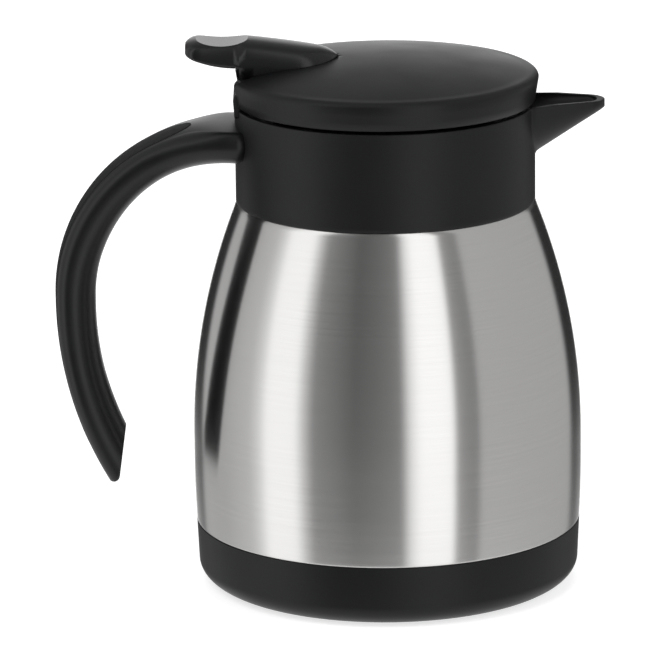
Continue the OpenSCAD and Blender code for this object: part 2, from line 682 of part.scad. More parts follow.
// Half width of the lever at x: flat round stern, parallel sides and the bow.
function lever_half(x) =
    x < -lever_rear + stern_len
        ? lever_w * (0.45 + 0.55 * sqrt(max(0, 1 - pow((-lever_rear + stern_len - x) / stern_len, 2.2))))
    : x < -bow_x ? lever_w
    : let (l = bow_x - lever_tip, r = (lever_w * lever_w + l * l) / (2 * lever_w))
        max(0.3, sqrt(max(0, r * r - pow(x + bow_x, 2))) - r + lever_w);
// Crest line, from the stern over the pad and down to the tip.
crest_x = 44;                                  // where the crest starts to fall to the tip
function lever_top(x) = crest_z
    - 1.95 * pow(clamp01((-lever_rear + 4 - x) / 4), 2)
    - 4.1 * pow(clamp01((x + crest_x) / (crest_x - lever_tip)), 1.16)
    - 1.9 * pow(clamp01((x + lever_tip + 6) / 6), 1.8);
// Underside: thin pad behind the hinge, deep skirt inside the lid's pocket.
function lever_low(x) =
    x < -skirt_x ? crest_z - 8.7 + 3.85 * pow(clamp01((-skirt_x - x) / (lever_rear - skirt_x)), 2.1)
    : x < -pivot_x ? mix(pivot_z + 2.5, pivot_z - boss_r, ease((x + skirt_x) / (skirt_x - pivot_x)))
    : mix(pivot_z - boss_r, dome(lever_tip) - 1.6, ease((x + pivot_x - 4) / (pivot_x - lever_tip - 4)));
// Section across the lever: a crowned top that rolls over into the flanks, flat flanks
// below and a slightly rounded underside.
flank_h = 7.4;
roll = 2.7;                                    // power of the curve of the top
lever_cuts = 9;
function lever_section(x) = let (
    w = lever_half(x), zt = lever_top(x), zb = lever_low(x),
    up = x < -skirt_x ? 0.55 : 0, h = min(flank_h, 0.85 * (zt - zb - up)))
    concat(
        [for (i = [-lever_cuts : lever_cuts]) let (u = sin(90 * i / lever_cuts))
            [x, w * u, zt - h * (1 - pow(max(0, 1 - pow(abs(u), roll)), 1 / roll))]],
        [for (i = [lever_cuts : -1 : -lever_cuts]) let (u = i / lever_cuts)
            [x, w * u, zb + up * pow(abs(u), 3)]]);
lever_stations = concat(
    [for (i = [0 : 5]) -lever_rear + stern_len * pow(i / 5, 1.7)],
    [for (i = [1 : 7]) mix(-lever_rear + stern_len, -skirt_x - 0.05, i / 7)],
    [for (i = [0 : 8]) mix(-skirt_x, -bow_x, i / 8)],
    [for (i = [1 : 12]) mix(-bow_x, -lever_tip, 1 - pow(1 - i / 12, 1.8))]);

fork_z = pivot_z + 3;                          // top of the forked arm
fork_t = 1.6;
dish_x = 52;                                   // distance of the thumb hollow behind the centre line
dish_r = (dish_len * dish_len + dish_depth * dish_depth) / (2 * dish_depth);

module thumb_lever() {
    color("#303133")
    difference() {
        union() {
            difference() {
                loft([for (x = lever_stations) lever_section(x)]);
                // Hollow inside the skirt.
                translate([0, 0, pivot_z - 8]) linear_extrude(8 + 5.2) difference() {
                    polygon(lever_outline(-2, skirt_x - 2.2));
                    translate([-stem_x + 2.2, -lever_w]) square([stem_x, 2 * lever_w]);
                }
            }
            // Bosses on the pin.
            for (s = [-1, 1]) translate([-pivot_x, s * (lever_w - 2.4), pivot_z]) rotate([90, 0, 0])
                cylinder(r = boss_r, h = 4.6, center = true, $fn = 48);
            // Forked arm that lifts the stem's cap.
            translate([0, 0, fork_z - fork_t]) linear_extrude(fork_t) intersection() {
                polygon(lever_outline(-1.5, pivot_x + 6));
                translate([-pivot_x - 6, -lever_w])
                    square([pivot_x + 6 - stem_x + cap_r + 0.6, 2 * lever_w]);
            }
        }
        translate([-pivot_x, 0, pivot_z]) rotate([90, 0, 0])
            cylinder(r = lever_pin_r + fit, h = 40, center = true, $fn = 48);
        // Slot of the fork.
        translate([-stem_x - stem_r - 0.9, -stem_r - 0.5, pivot_z - 6])
            cube([stem_r + cap_r + 2, 2 * stem_r + 1, fork_z - pivot_z + 6.1]);
        // Room for the cap above the fork.
        translate([-stem_x, 0, fork_z]) cylinder(r = cap_r + 1, h = 3.4, $fn = 48);
        // Thumb hollow, a shallow trough across the crowned top.
        translate([-dish_x, 0, crest_z + dish_r - dish_depth]) rotate([90, 0, 0])
            cylinder(r = dish_r, h = 4 * lever_w, center = true, $fn = 240);
    }
}

// ---------------------------------------------------------------- valve
seat_z = plug_floor_z;
seal_t = 1.2;
cap_z = fork_z + 0.1;                          // underside of the stem's cap
module valve_stem() {
    color("#8d8f92")
    translate([-stem_x, 0, seat_z + seal_t + gap / 2]) {
        cylinder(r = valve_r - 0.5, h = 1.4, $fn = 64);
        cylinder(r = stem_r + 1, h = 2.2, $fn = 48);
        cylinder(r = stem_r, h = cap_z + 1.2 - seat_z - seal_t - gap / 2, $fn = 48);
    }
}

module valve_seal() {
    color("#e6e4dc")
    translate([-stem_x, 0, seat_z + gap / 2])
        cylinder(r = valve_r, h = seal_t - fit, $fn = 64);
}

module stem_cap() {
    color("#8d8f92")
    translate([-stem_x, 0, cap_z]) difference() {
        // The bevel under the rim lets the tilted fork pass.
        rotate_extrude($fn = 48)
            polygon([[0, 0], [cap_r - 0.5, 0], [cap_r, 0.25], [cap_r, 1.9], [0, 1.9]]);
        translate([0, 0, -1]) cylinder(r = stem_r + 0.02, h = 2.25, $fn = 48);
    }
}

// Wire swept along a helix: closed end turns are left to the seats.
module valve_spring() {
    z0 = seat_z + seal_t + gap / 2 + 1.4 + spring_wire / 2 + fit;
    z1 = plate_z - spring_wire / 2 - fit;
    r = 5.4;
    steps = spring_turns * 16;
    color("silver")
    loft([for (j = [0 : steps]) let (a = 360 * j / 16, z = mix(z0, z1, j / steps))
        [for (i = [0 : 5]) let (b = 60 * i, q = r + spring_wire / 2 * cos(b))
            [-stem_x + q * cos(a), q * sin(a), z + spring_wire / 2 * sin(b)]]]);
}

// ---------------------------------------------------------------- output
outer_shell();
inner_flask();
bottom_plate();
vacuum_seal();
base_cup();
base_pad();
collar();
neck_gasket();
neck_ring();
handle();
handle_strip();
handle_screws();
hinge_pin();
lid_cover();
lid_underplate();
lid_plug();
plug_gasket();
lid_foam();
lid_screws();
lever_pin();
valve_spring();
thumb_lever();
valve_stem();
valve_seal();
stem_cap();
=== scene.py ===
import json
import math

import bpy
import numpy as np
from mathutils import Matrix, Vector


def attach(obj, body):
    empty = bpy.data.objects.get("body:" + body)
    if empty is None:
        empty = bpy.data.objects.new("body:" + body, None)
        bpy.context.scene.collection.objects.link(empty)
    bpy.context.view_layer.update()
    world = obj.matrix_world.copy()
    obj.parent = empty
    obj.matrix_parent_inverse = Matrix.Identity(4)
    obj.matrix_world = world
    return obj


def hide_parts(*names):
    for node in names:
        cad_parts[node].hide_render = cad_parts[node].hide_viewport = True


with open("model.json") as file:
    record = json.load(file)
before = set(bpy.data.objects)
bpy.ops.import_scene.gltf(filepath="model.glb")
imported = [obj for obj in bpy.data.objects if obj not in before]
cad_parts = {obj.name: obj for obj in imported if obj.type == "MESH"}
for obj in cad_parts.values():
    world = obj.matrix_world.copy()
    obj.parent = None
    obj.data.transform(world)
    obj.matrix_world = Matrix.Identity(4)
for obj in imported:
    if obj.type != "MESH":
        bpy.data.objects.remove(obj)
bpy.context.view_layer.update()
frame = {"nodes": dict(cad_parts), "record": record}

bl_info = {
    "name": "Thermal carafe",
    "version": (1, 0, 0),
    "blender": (4, 5, 0),
    "location": "3D View > Sidebar > Carafe",
    "description": "Dresses a steel vacuum carafe with its plastics, lever, materials and studio",
    "category": "Object",
}

MM = 0.001


# ---------------------------------------------------------------- sizes and finishes
class CarafeSizes(bpy.types.PropertyGroup):
    """Sizes of the visible pieces, in metres."""

    belly_radius: bpy.props.FloatProperty(
        name="Belly radius", description="Steel at its widest", default=63.09 * MM, unit="LENGTH")
    belly_height: bpy.props.FloatProperty(
        name="Belly height", description="Height of the widest part", default=42.0 * MM, unit="LENGTH")
    seam_radius: bpy.props.FloatProperty(
        name="Seam radius", description="Steel where it meets the base cup", default=62.5 * MM, unit="LENGTH")
    seam_height: bpy.props.FloatProperty(
        name="Seam height", description="Top of the base cup", default=20.7 * MM, unit="LENGTH")
    shoulder_radius: bpy.props.FloatProperty(
        name="Shoulder radius", description="Steel under the collar", default=48.1 * MM, unit="LENGTH")
    shoulder_height: bpy.props.FloatProperty(
        name="Shoulder height", description="Lower edge of the collar", default=126.4 * MM, unit="LENGTH")
    collar_radius: bpy.props.FloatProperty(
        name="Collar radius", description="Outside of the collar", default=48.3 * MM, unit="LENGTH")
    collar_height: bpy.props.FloatProperty(
        name="Collar height", description="Collar from the shoulder to its rim", default=31.8 * MM,
        unit="LENGTH")
    spout_reach: bpy.props.FloatProperty(
        name="Spout reach", description="Centre line to the spout's tip", default=70.66 * MM, unit="LENGTH")
    handle_reach: bpy.props.FloatProperty(
        name="Handle reach", description="Centre line to the back of the handle", default=107.0 * MM,
        unit="LENGTH")


class CarafeFinishes(bpy.types.PropertyGroup):
    """Colours and gloss of the finishes."""

    steel: bpy.props.FloatVectorProperty(
        name="Steel", description="Colour of the brushed steel", subtype="COLOR", default=(0.64, 0.635, 0.625))
    steel_gloss: bpy.props.FloatProperty(
        name="Steel roughness", description="Roughness of the brushed steel", subtype="FACTOR", default=0.2)
    dark_plastic: bpy.props.FloatVectorProperty(
        name="Dark plastic", description="Colour of the collar, handle and base", subtype="COLOR",
        default=(0.0042, 0.0044, 0.0048))
    lid_plastic: bpy.props.FloatVectorProperty(
        name="Lid plastic", description="Colour of the lid and lever", subtype="COLOR",
        default=(0.0042, 0.0044, 0.0048))
    soft_grip: bpy.props.FloatVectorProperty(
        name="Strip", description="Colour of the strip in the handle", subtype="COLOR",
        default=(0.0070, 0.0072, 0.0077))
    silicone: bpy.props.FloatVectorProperty(
        name="Silicone", description="Colour of the gaskets", subtype="COLOR", default=(0.62, 0.61, 0.57))
    valve_plastic: bpy.props.FloatVectorProperty(
        name="Valve plastic", description="Colour of the valve stem and its cap", subtype="COLOR",
        default=(0.10, 0.105, 0.11))


class StageSettings(bpy.types.PropertyGroup):
    """Camera and surroundings."""

    lens: bpy.props.FloatProperty(
        name="Lens", description="Focal length", default=320.53, subtype="DISTANCE_CAMERA")
    eye: bpy.props.FloatVectorProperty(
        name="Camera place", description="Where the camera stands", subtype="TRANSLATION",
        default=(-0.01785, -1.8438, 0.5692))
    pitch: bpy.props.FloatProperty(
        name="Camera pitch", description="How far the camera looks down", subtype="ANGLE", default=0.25801)
    yaw: bpy.props.FloatProperty(
        name="Camera yaw", description="How far the camera looks to the right", subtype="ANGLE",
        default=-0.00029)
    roll: bpy.props.FloatProperty(
        name="Camera roll", description="Turn about the line of sight", subtype="ANGLE", default=-0.0109)
    floor_size: bpy.props.FloatProperty(
        name="Floor", description="Side of the floor", default=6.0, unit="LENGTH")


# ---------------------------------------------------------------- surfaces
def closed_mesh(name, rings, loop=False, zipped=False):
    """Skin through closed rings of equal point counts, in millimetres. Point i of ring j joins
    point i of ring j + 1. The last ring joins the first in a loop, or else both end rings are
    closed, by a fan to their mean point or, when zipped, by straight bands from each point i to
    its mirror n - i. The faces are turned outwards by the sign of the volume."""
    rings = np.asarray(rings, float)
    m, n = rings.shape[:2]
    i = np.arange(n)
    k = (i + 1) % n
    j = np.arange(m if loop else m - 1)[:, None]
    nxt = (j + 1) % m
    quads = np.stack([j * n + i, j * n + k, nxt * n + k, nxt * n + i], -1).reshape(-1, 4)
    verts = rings.reshape(-1, 3)
    tris = np.zeros((0, 3), int)
    if zipped:
        h = np.arange(1, n // 2 - 1)
        band = np.stack([h, h + 1, n - h - 1, n - h], -1)
        last = (m - 1) * n
        quads = np.vstack([quads, band[:, ::-1], band + last])
        half = n // 2
        tris = np.array([[n - 1, 1, 0], [half - 1, half + 1, half],
                         [last, last + 1, last + n - 1], [last + half, last + half + 1, last + half - 1]])
    elif not loop:
        verts = np.vstack([verts, rings[0].mean(0), rings[-1].mean(0)])
        first, last = m * n, m * n + 1
        tris = np.vstack([
            np.stack([np.full(n, first), k, i], -1),
            np.stack([np.full(n, last), (m - 1) * n + i, (m - 1) * n + k], -1)])
    halves = np.vstack([quads[:, [0, 1, 2]], quads[:, [0, 2, 3]], tris])
    a, b, c = (verts[halves[:, q]] for q in range(3))
    if np.einsum("ij,ij->i", a, np.cross(b, c)).sum() < 0:
        quads, tris = quads[:, ::-1], tris[:, ::-1]
    mesh = bpy.data.meshes.new(name)
    mesh.from_pydata((verts * MM).tolist(), [], quads.tolist() + tris.tolist())
    mesh.shade_smooth()
    obj = bpy.data.objects.new(name, mesh)
    bpy.context.scene.collection.objects.link(obj)
    return obj


def spin(profile, steps=288):
    """Rings of a surface of revolution: point (r, z) goes to (r cos t, r sin t, z)."""
    profile = np.asarray(profile, float)
    t = np.linspace(0, 2 * np.pi, steps, endpoint=False)
    r, z = profile[:, :1], profile[:, 1:]
    return np.stack([r * np.cos(t), r * np.sin(t), z + 0 * t], -1)


def rounded(points, radii, arc=6, closed=True):
    """A polyline with each corner replaced by an arc that is tangent to both sides. A corner's
    tangent length is radius / tan(half angle), at most 0.48 of the shorter side."""
    p = np.asarray(points, float)
    radii = np.broadcast_to(np.asarray(radii, float), len(p)).copy()
    if not closed:
        radii[[0, -1]] = 0
    before, after = np.roll(p, 1, 0) - p, np.roll(p, -1, 0) - p
    la, lb = np.linalg.norm(before, axis=1), np.linalg.norm(after, axis=1)
    da, db = before / la[:, None], after / lb[:, None]
    half = 0.5 * np.arccos(np.clip((da * db).sum(1), -1, 1))
    t = np.minimum(radii / np.tan(np.maximum(half, 1e-6)), 0.48 * np.minimum(la, lb))
    r = t * np.tan(half)
    axis = da + db
    size = np.linalg.norm(axis, axis=1)
    ok = (size > 1e-6) & (t > 1e-6)
    centre = p + np.where(ok, r / np.maximum(np.sin(half), 1e-9) / np.maximum(size, 1e-9), 0)[:, None] * axis
    a, b = p + da * t[:, None] - centre, p + db * t[:, None] - centre
    omega = np.where(ok, np.pi - 2 * half, 1.0)[:, None, None]
    s = np.linspace(0, 1, arc + 1)[None, :, None]
    sweep = (np.sin((1 - s) * omega) * a[:, None] + np.sin(s * omega) * b[:, None]) / np.sin(omega)
    out = np.where(ok[:, None, None], centre[:, None] + sweep, p[:, None]).reshape(-1, 2)
    keep = np.linalg.norm(out - np.roll(out, 1, 0), axis=1) > 1e-4
    return out[keep]


def ease(t):
    """Smooth step: 3 t^2 - 2 t^3 between 0 and 1."""
    t = np.clip(t, 0, 1)
    return t * t * (3 - 2 * t)


def blend_max(a, b, k):
    """Larger of a and b, with a fillet of width k where they cross."""
    h = np.clip(0.5 + 0.5 * (b - a) / k, 0, 1)
    return a + (b - a) * h + k * h * (1 - h)


def finish_piece(obj, material, body, slot, *nodes):
    """Gives a piece its finish, makes it ride on its body and stand for its nodes."""
    obj.data.materials.clear()
    obj.data.materials.append(material)
    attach(obj, body)
    if nodes:
        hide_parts(*nodes)
    return obj


def smoothed_copy(node, name, angle=28):
    """Copy of a node's mesh with its doubles merged and its edges sharp above an angle."""
    import bmesh
    mesh = frame["nodes"][node].data.copy()
    mesh.name = name
    bm = bmesh.new()
    bm.from_mesh(mesh)
    bmesh.ops.remove_doubles(bm, verts=bm.verts, dist=1e-6)
    bm.to_mesh(mesh)
    bm.free()
    mesh.shade_smooth()
    mesh.set_sharp_from_angle(angle=math.radians(angle))
    obj = bpy.data.objects.new(name, mesh)
    bpy.context.scene.collection.objects.link(obj)
    return obj


# ---------------------------------------------------------------- materials
def shader(name):
    """New node material: returns the material, its tree and its main shader."""
    mat = bpy.data.materials.new(name)
    mat.use_nodes = True
    return mat, mat.node_tree, mat.node_tree.nodes["Principled BSDF"]


def add(tree, kind, **values):
    """New shader node with its properties set."""
    node = tree.nodes.new(kind)
    for key, value in values.items():
        setattr(node, key, value)
    return node


def stretched_noise(tree, scale, detail=3.0, rough=0.6):
    """Noise on Object coordinates, stretched by the three scales."""
    place = add(tree, "ShaderNodeTexCoord")
    mapping = add(tree, "ShaderNodeMapping")
    mapping.inputs["Scale"].default_value = scale
    noise = add(tree, "ShaderNodeTexNoise")
    noise.inputs["Scale"].default_value = 1.0
    noise.inputs["Detail"].default_value = detail
    noise.inputs["Roughness"].default_value = rough
    tree.links.new(place.outputs["Object"], mapping.inputs["Vector"])
    tree.links.new(mapping.outputs["Vector"], noise.inputs["Vector"])
    return noise.outputs["Fac"]


def spread(tree, value, low, high, from_low=0.3, from_high=0.7):
    """Maps a noise value to a range."""
    node = add(tree, "ShaderNodeMapRange")
    node.inputs["From Min"].default_value = from_low
    node.inputs["From Max"].default_value = from_high
    node.inputs["To Min"].default_value = low
    node.inputs["To Max"].default_value = high
    tree.links.new(value, node.inputs["Value"])
    return node.outputs["Result"]


def bump(tree, bsdf, value, strength, distance):
    """Bump from a height value."""
    node = add(tree, "ShaderNodeBump")
    node.inputs["Strength"].default_value = strength
    node.inputs["Distance"].default_value = distance
    tree.links.new(value, node.inputs["Height"])
    tree.links.new(node.outputs["Normal"], bsdf.inputs["Normal"])


def tinted(tree, bsdf, colour, value, low, high):
    """Base colour times a factor that follows a noise value."""
    mix = add(tree, "ShaderNodeMix", data_type="RGBA", blend_type="MIX")
    mix.inputs["A"].default_value = (*(c * low for c in colour), 1)
    mix.inputs["B"].default_value = (*(min(1.0, c * high) for c in colour), 1)
    tree.links.new(value, mix.inputs["Factor"])
    tree.links.new(mix.outputs["Result"], bsdf.inputs["Base Color"])


def brushed_steel(name, colour, roughness):
    """Steel brushed round the body: fine streaks along the brushing in colour, roughness and
    bump, and a highlight that is stretched across them."""
    mat, tree, bsdf = shader(name)
    bsdf.inputs["Metallic"].default_value = 1.0
    bsdf.inputs["Anisotropic"].default_value = 0.9
    bsdf.inputs["Anisotropic Rotation"].default_value = 0.25
    tangent = add(tree, "ShaderNodeTangent", direction_type="RADIAL", axis="Z")
    tree.links.new(tangent.outputs["Tangent"], bsdf.inputs["Tangent"])
    fine = stretched_noise(tree, (26, 26, 9000), 4, 0.7)
    tinted(tree, bsdf, colour, spread(tree, fine, 0, 1), 0.95, 1.05)
    tree.links.new(spread(tree, fine, roughness * 0.9, roughness * 1.12), bsdf.inputs["Roughness"])
    bump(tree, bsdf, fine, 0.03, 0.00002)
    return mat


def turned_steel(name, roughness=0.22):
    """Plain bright steel of pins, screws and wire."""
    mat, tree, bsdf = shader(name)
    bsdf.inputs["Metallic"].default_value = 1.0
    fine = stretched_noise(tree, (3000, 3000, 3000), 2)
    tinted(tree, bsdf, (0.6, 0.6, 0.6), spread(tree, fine, 0, 1), 0.9, 1.1)
    tree.links.new(spread(tree, fine, roughness * 0.8, roughness * 1.3), bsdf.inputs["Roughness"])
    return mat


def moulded(name, colour, roughness, grain=0.25, grain_size=2400, specular=0.5, polished=None):
    """Moulded plastic: fine spark-eroded grain in the bump, and soft clouds in the gloss. Where
    the mesh's polish attribute is 1 the roughness is the polished one."""
    mat, tree, bsdf = shader(name)
    bsdf.inputs["Specular IOR Level"].default_value = specular
    grainy = stretched_noise(tree, (grain_size,) * 3, 2, 0.5)
    clouds = stretched_noise(tree, (60, 60, 60), 3, 0.5)
    tinted(tree, bsdf, colour, spread(tree, clouds, 0, 1), 0.93, 1.07)
    gloss = spread(tree, clouds, roughness * 0.94, roughness * 1.06)
    if polished is not None:
        mark = add(tree, "ShaderNodeAttribute", attribute_name="polish")
        mix = add(tree, "ShaderNodeMix", data_type="FLOAT")
        mix.inputs["B"].default_value = polished
        tree.links.new(mark.outputs["Fac"], mix.inputs["Factor"])
        tree.links.new(gloss, mix.inputs["A"])
        gloss = mix.outputs["Result"]
    tree.links.new(gloss, bsdf.inputs["Roughness"])
    bump(tree, bsdf, grainy, grain, 0.00004)
    return mat


def rubbery(name, colour, roughness=0.6, scatter=0.0, specular=0.5):
    """Soft moulded rubber or silicone."""
    mat, tree, bsdf = shader(name)
    bsdf.inputs["Specular IOR Level"].default_value = specular
    bsdf.inputs["Subsurface Weight"].default_value = scatter
    bsdf.inputs["Subsurface Scale"].default_value = 0.002
    clouds = stretched_noise(tree, (300, 300, 300), 4, 0.6)
    tinted(tree, bsdf, colour, spread(tree, clouds, 0, 1), 0.92, 1.08)
    tree.links.new(spread(tree, clouds, roughness * 0.9, roughness * 1.1), bsdf.inputs["Roughness"])
    bump(tree, bsdf, clouds, 0.1, 0.00005)
    return mat


def foamed(name):
    """Rigid cream foam with small cells."""
    mat, tree, bsdf = shader(name)
    bsdf.inputs["Roughness"].default_value = 0.9
    place = add(tree, "ShaderNodeTexCoord")
    cells = add(tree, "ShaderNodeTexVoronoi")
    cells.inputs["Scale"].default_value = 1500
    tree.links.new(place.outputs["Object"], cells.inputs["Vector"])
    tinted(tree, bsdf, (0.72, 0.67, 0.5), cells.outputs["Distance"], 0.8, 1.1)
    bump(tree, bsdf, cells.outputs["Distance"], 0.5, 0.0003)
    return mat


FINISH = {}


# ---------------------------------------------------------------- flask and base
SHEET = 0.5
NECK_RADIUS, NECK_RISE = 41.0, 22.6
FOOT_RADIUS, FOOT_WIDE, FOOT_TALL, FOOT_Z = 61.9, 9.6, 7.2, 0.2
PAD_RADIUS, PAD_TOP = 47.05, 1.6
WIDEST_BAND = 7


def belly(z, s):
    """Radius of the steel at height z: a low arc, a short upright band at the widest height, and
    a high arc up to the shoulder. Each arc's radius is (rise^2 + run^2) / (2 run)."""
    top, wide = s.belly_radius / MM, s.belly_height / MM
    seam, seam_z = s.seam_radius / MM, s.seam_height / MM
    neck, neck_z = s.shoulder_radius / MM, s.shoulder_height / MM
    flat = wide + WIDEST_BAND
    low = ((wide - seam_z) ** 2 + (top - seam) ** 2) / (2 * (top - seam))
    high = ((neck_z - flat) ** 2 + (top - neck) ** 2) / (2 * (top - neck))
    below = top - low + np.sqrt(low ** 2 - np.minimum(z - wide, 0) ** 2)
    above = top - high + np.sqrt(high ** 2 - np.maximum(z - flat, 0) ** 2)
    return np.where(z < wide, below, above)


class CARAFE_OT_flask(bpy.types.Operator):
    """Outer steel wall, spun from the belly's two arcs, with a rolled lower edge."""

    bl_idname = "carafe.flask"
    bl_label = "Steel flask"

    def execute(self, context):
        s = context.scene.carafe_sizes
        seam_z, neck_z = s.seam_height / MM, s.shoulder_height / MM
        seam, neck = s.seam_radius / MM, s.shoulder_radius / MM
        z = np.linspace(seam_z + 0.9, neck_z - 0.7, 150)
        tuck = seam - 2.2
        outer = np.vstack([
            [[tuck, 6.8], [tuck, seam_z + 0.05], [seam - 0.02, seam_z + 0.05]],
            np.stack([belly(z, s), z], -1),
            [[neck - 0.25, neck_z - 0.05], [NECK_RADIUS, neck_z + 7.5],
             [NECK_RADIUS, neck_z + NECK_RISE]]])
        radii = np.zeros(len(outer))
        radii[1], radii[2], radii[-3] = 0.15, 0.4, 0.3
        outer = rounded(outer, radii, closed=False)
        inner = outer[::-1] - [SHEET, 0]
        obj = closed_mesh("steel_body", spin(np.vstack([outer, inner])), loop=True)
        finish_piece(obj, FINISH["steel"], "carafe", "steel", "outer_shell")
        return {"FINISHED"}


class CARAFE_OT_base(bpy.types.Operator):
    """Base cup: straight side, recess for the pad, and a foot that is a quarter ellipse, with
    r = foot_radius - wide + wide sin(a) and z = foot_z + tall (1 - cos(a))."""

    bl_idname = "carafe.base"
    bl_label = "Base cup"

    def execute(self, context):
        s = context.scene.carafe_sizes
        seam, seam_z = s.seam_radius / MM, s.seam_height / MM
        a = np.linspace(0, np.pi / 2, 40)
        foot = np.stack([FOOT_RADIUS - FOOT_WIDE + FOOT_WIDE * np.sin(a),
                         FOOT_Z + FOOT_TALL * (1 - np.cos(a))], -1)
        outer = np.vstack([[[0.01, PAD_TOP], [PAD_RADIUS, PAD_TOP], [PAD_RADIUS, FOOT_Z]], foot,
                           [[seam, seam_z - 0.05], [seam - 2.1, seam_z - 0.05],
                            [seam - 2.1, 6.75], [seam - 7, 5.3], [seam - 10, 2.8], [0.01, 2.8]]])
        radii = np.zeros(len(outer))
        radii[2] = 0.25
        radii[len(foot) + 3] = 0.35
        obj = closed_mesh("base_shell", spin(rounded(outer, radii, closed=False)))
        finish_piece(obj, FINISH["dark_plastic"], "carafe", "dark_plastic", "base_cup")
        return {"FINISHED"}


# ---------------------------------------------------------------- collar and spout
SPOUT_ROOT = 11.9
SPOUT_TIP = 6.2
SPOUT_DROP = 16.5
SPOUT_WALL = 1.5
SPOUT_RAISE = 0.55
CHANNEL_Z = 153.3
SPOUT_ARC = 0.6
COLLAR_WALL = 2.4
WEB_TOP, WEB_LOW, WEB_RADIUS = 153.25, 150.7, 39.4
HINGE_X, HINGE_RISE, EAR_RADIUS = -46.0, 3.1, 2.6


def spout_half(x, s):
    """Half width of the spout: straight flanks that run tangent into the round tip."""
    root, nose = s.collar_radius / MM, s.spout_reach / MM - SPOUT_TIP
    slope = math.atan(SPOUT_ROOT / (nose - root)) - math.asin(SPOUT_TIP / math.hypot(nose - root, SPOUT_ROOT))
    flank = SPOUT_ROOT - (x - root) * math.tan(slope)
    tip = np.sqrt(np.maximum(0, SPOUT_TIP ** 2 - (x - nose) ** 2))
    return np.where(x < nose + SPOUT_TIP * math.sin(slope), flank, tip)


def spout_reach_at(angle, z, s, inside):
    """Distance from the centre line at which the spout's skin lies, at an angle and a height. The
    section at x is |y| = w cos a and z = top - (top - low) sin(a)^0.9, and the distance is where
    that half width equals x tan(angle), found by halving. inside gives the channel's skin."""
    rim = (s.shoulder_height + s.collar_height) / MM
    root, reach = s.collar_radius / MM, s.spout_reach / MM
    nose = reach - SPOUT_TIP

    def half(x):
        """Half width and lowest height of the spout, or of its channel, at x."""
        raised = SPOUT_RAISE * np.clip((x - root) / 8, 0, 1)
        if inside:
            w = spout_half(np.minimum(x, nose - 1), s) - SPOUT_WALL
            w = w * np.sqrt(np.maximum(0, 1 - (np.maximum(x - nose + 1, 0) / (SPOUT_TIP - 1.6)) ** 2))
            top = rim + raised - 0.4
            low = CHANNEL_Z + (rim - 1.1 - CHANNEL_Z) * np.clip((x - root + 2.7) / (nose + 5.7 - root), 0, 1)
        else:
            w = spout_half(x, s)
            top = rim + raised - 0.9
            low = rim - SPOUT_DROP + (SPOUT_DROP - 2.2) * (x - root) / (reach - root)
        depth = np.clip((top - z) / np.maximum(top - low, 0.05), 0, 1) ** (1 / 0.9)
        return w * np.sqrt(np.maximum(0, 1 - depth ** 2)), low

    lo = np.full(np.broadcast(angle, z).shape, 25.0)
    hi = np.full(lo.shape, reach)
    spread_at = np.abs(np.tan(angle))
    for _ in range(34):
        mid = 0.5 * (lo + hi)
        w, low = half(mid)
        into = (w > mid * spread_at) & (z > low)
        lo, hi = np.where(into, mid, lo), np.where(into, hi, mid)
    return lo / np.cos(angle)


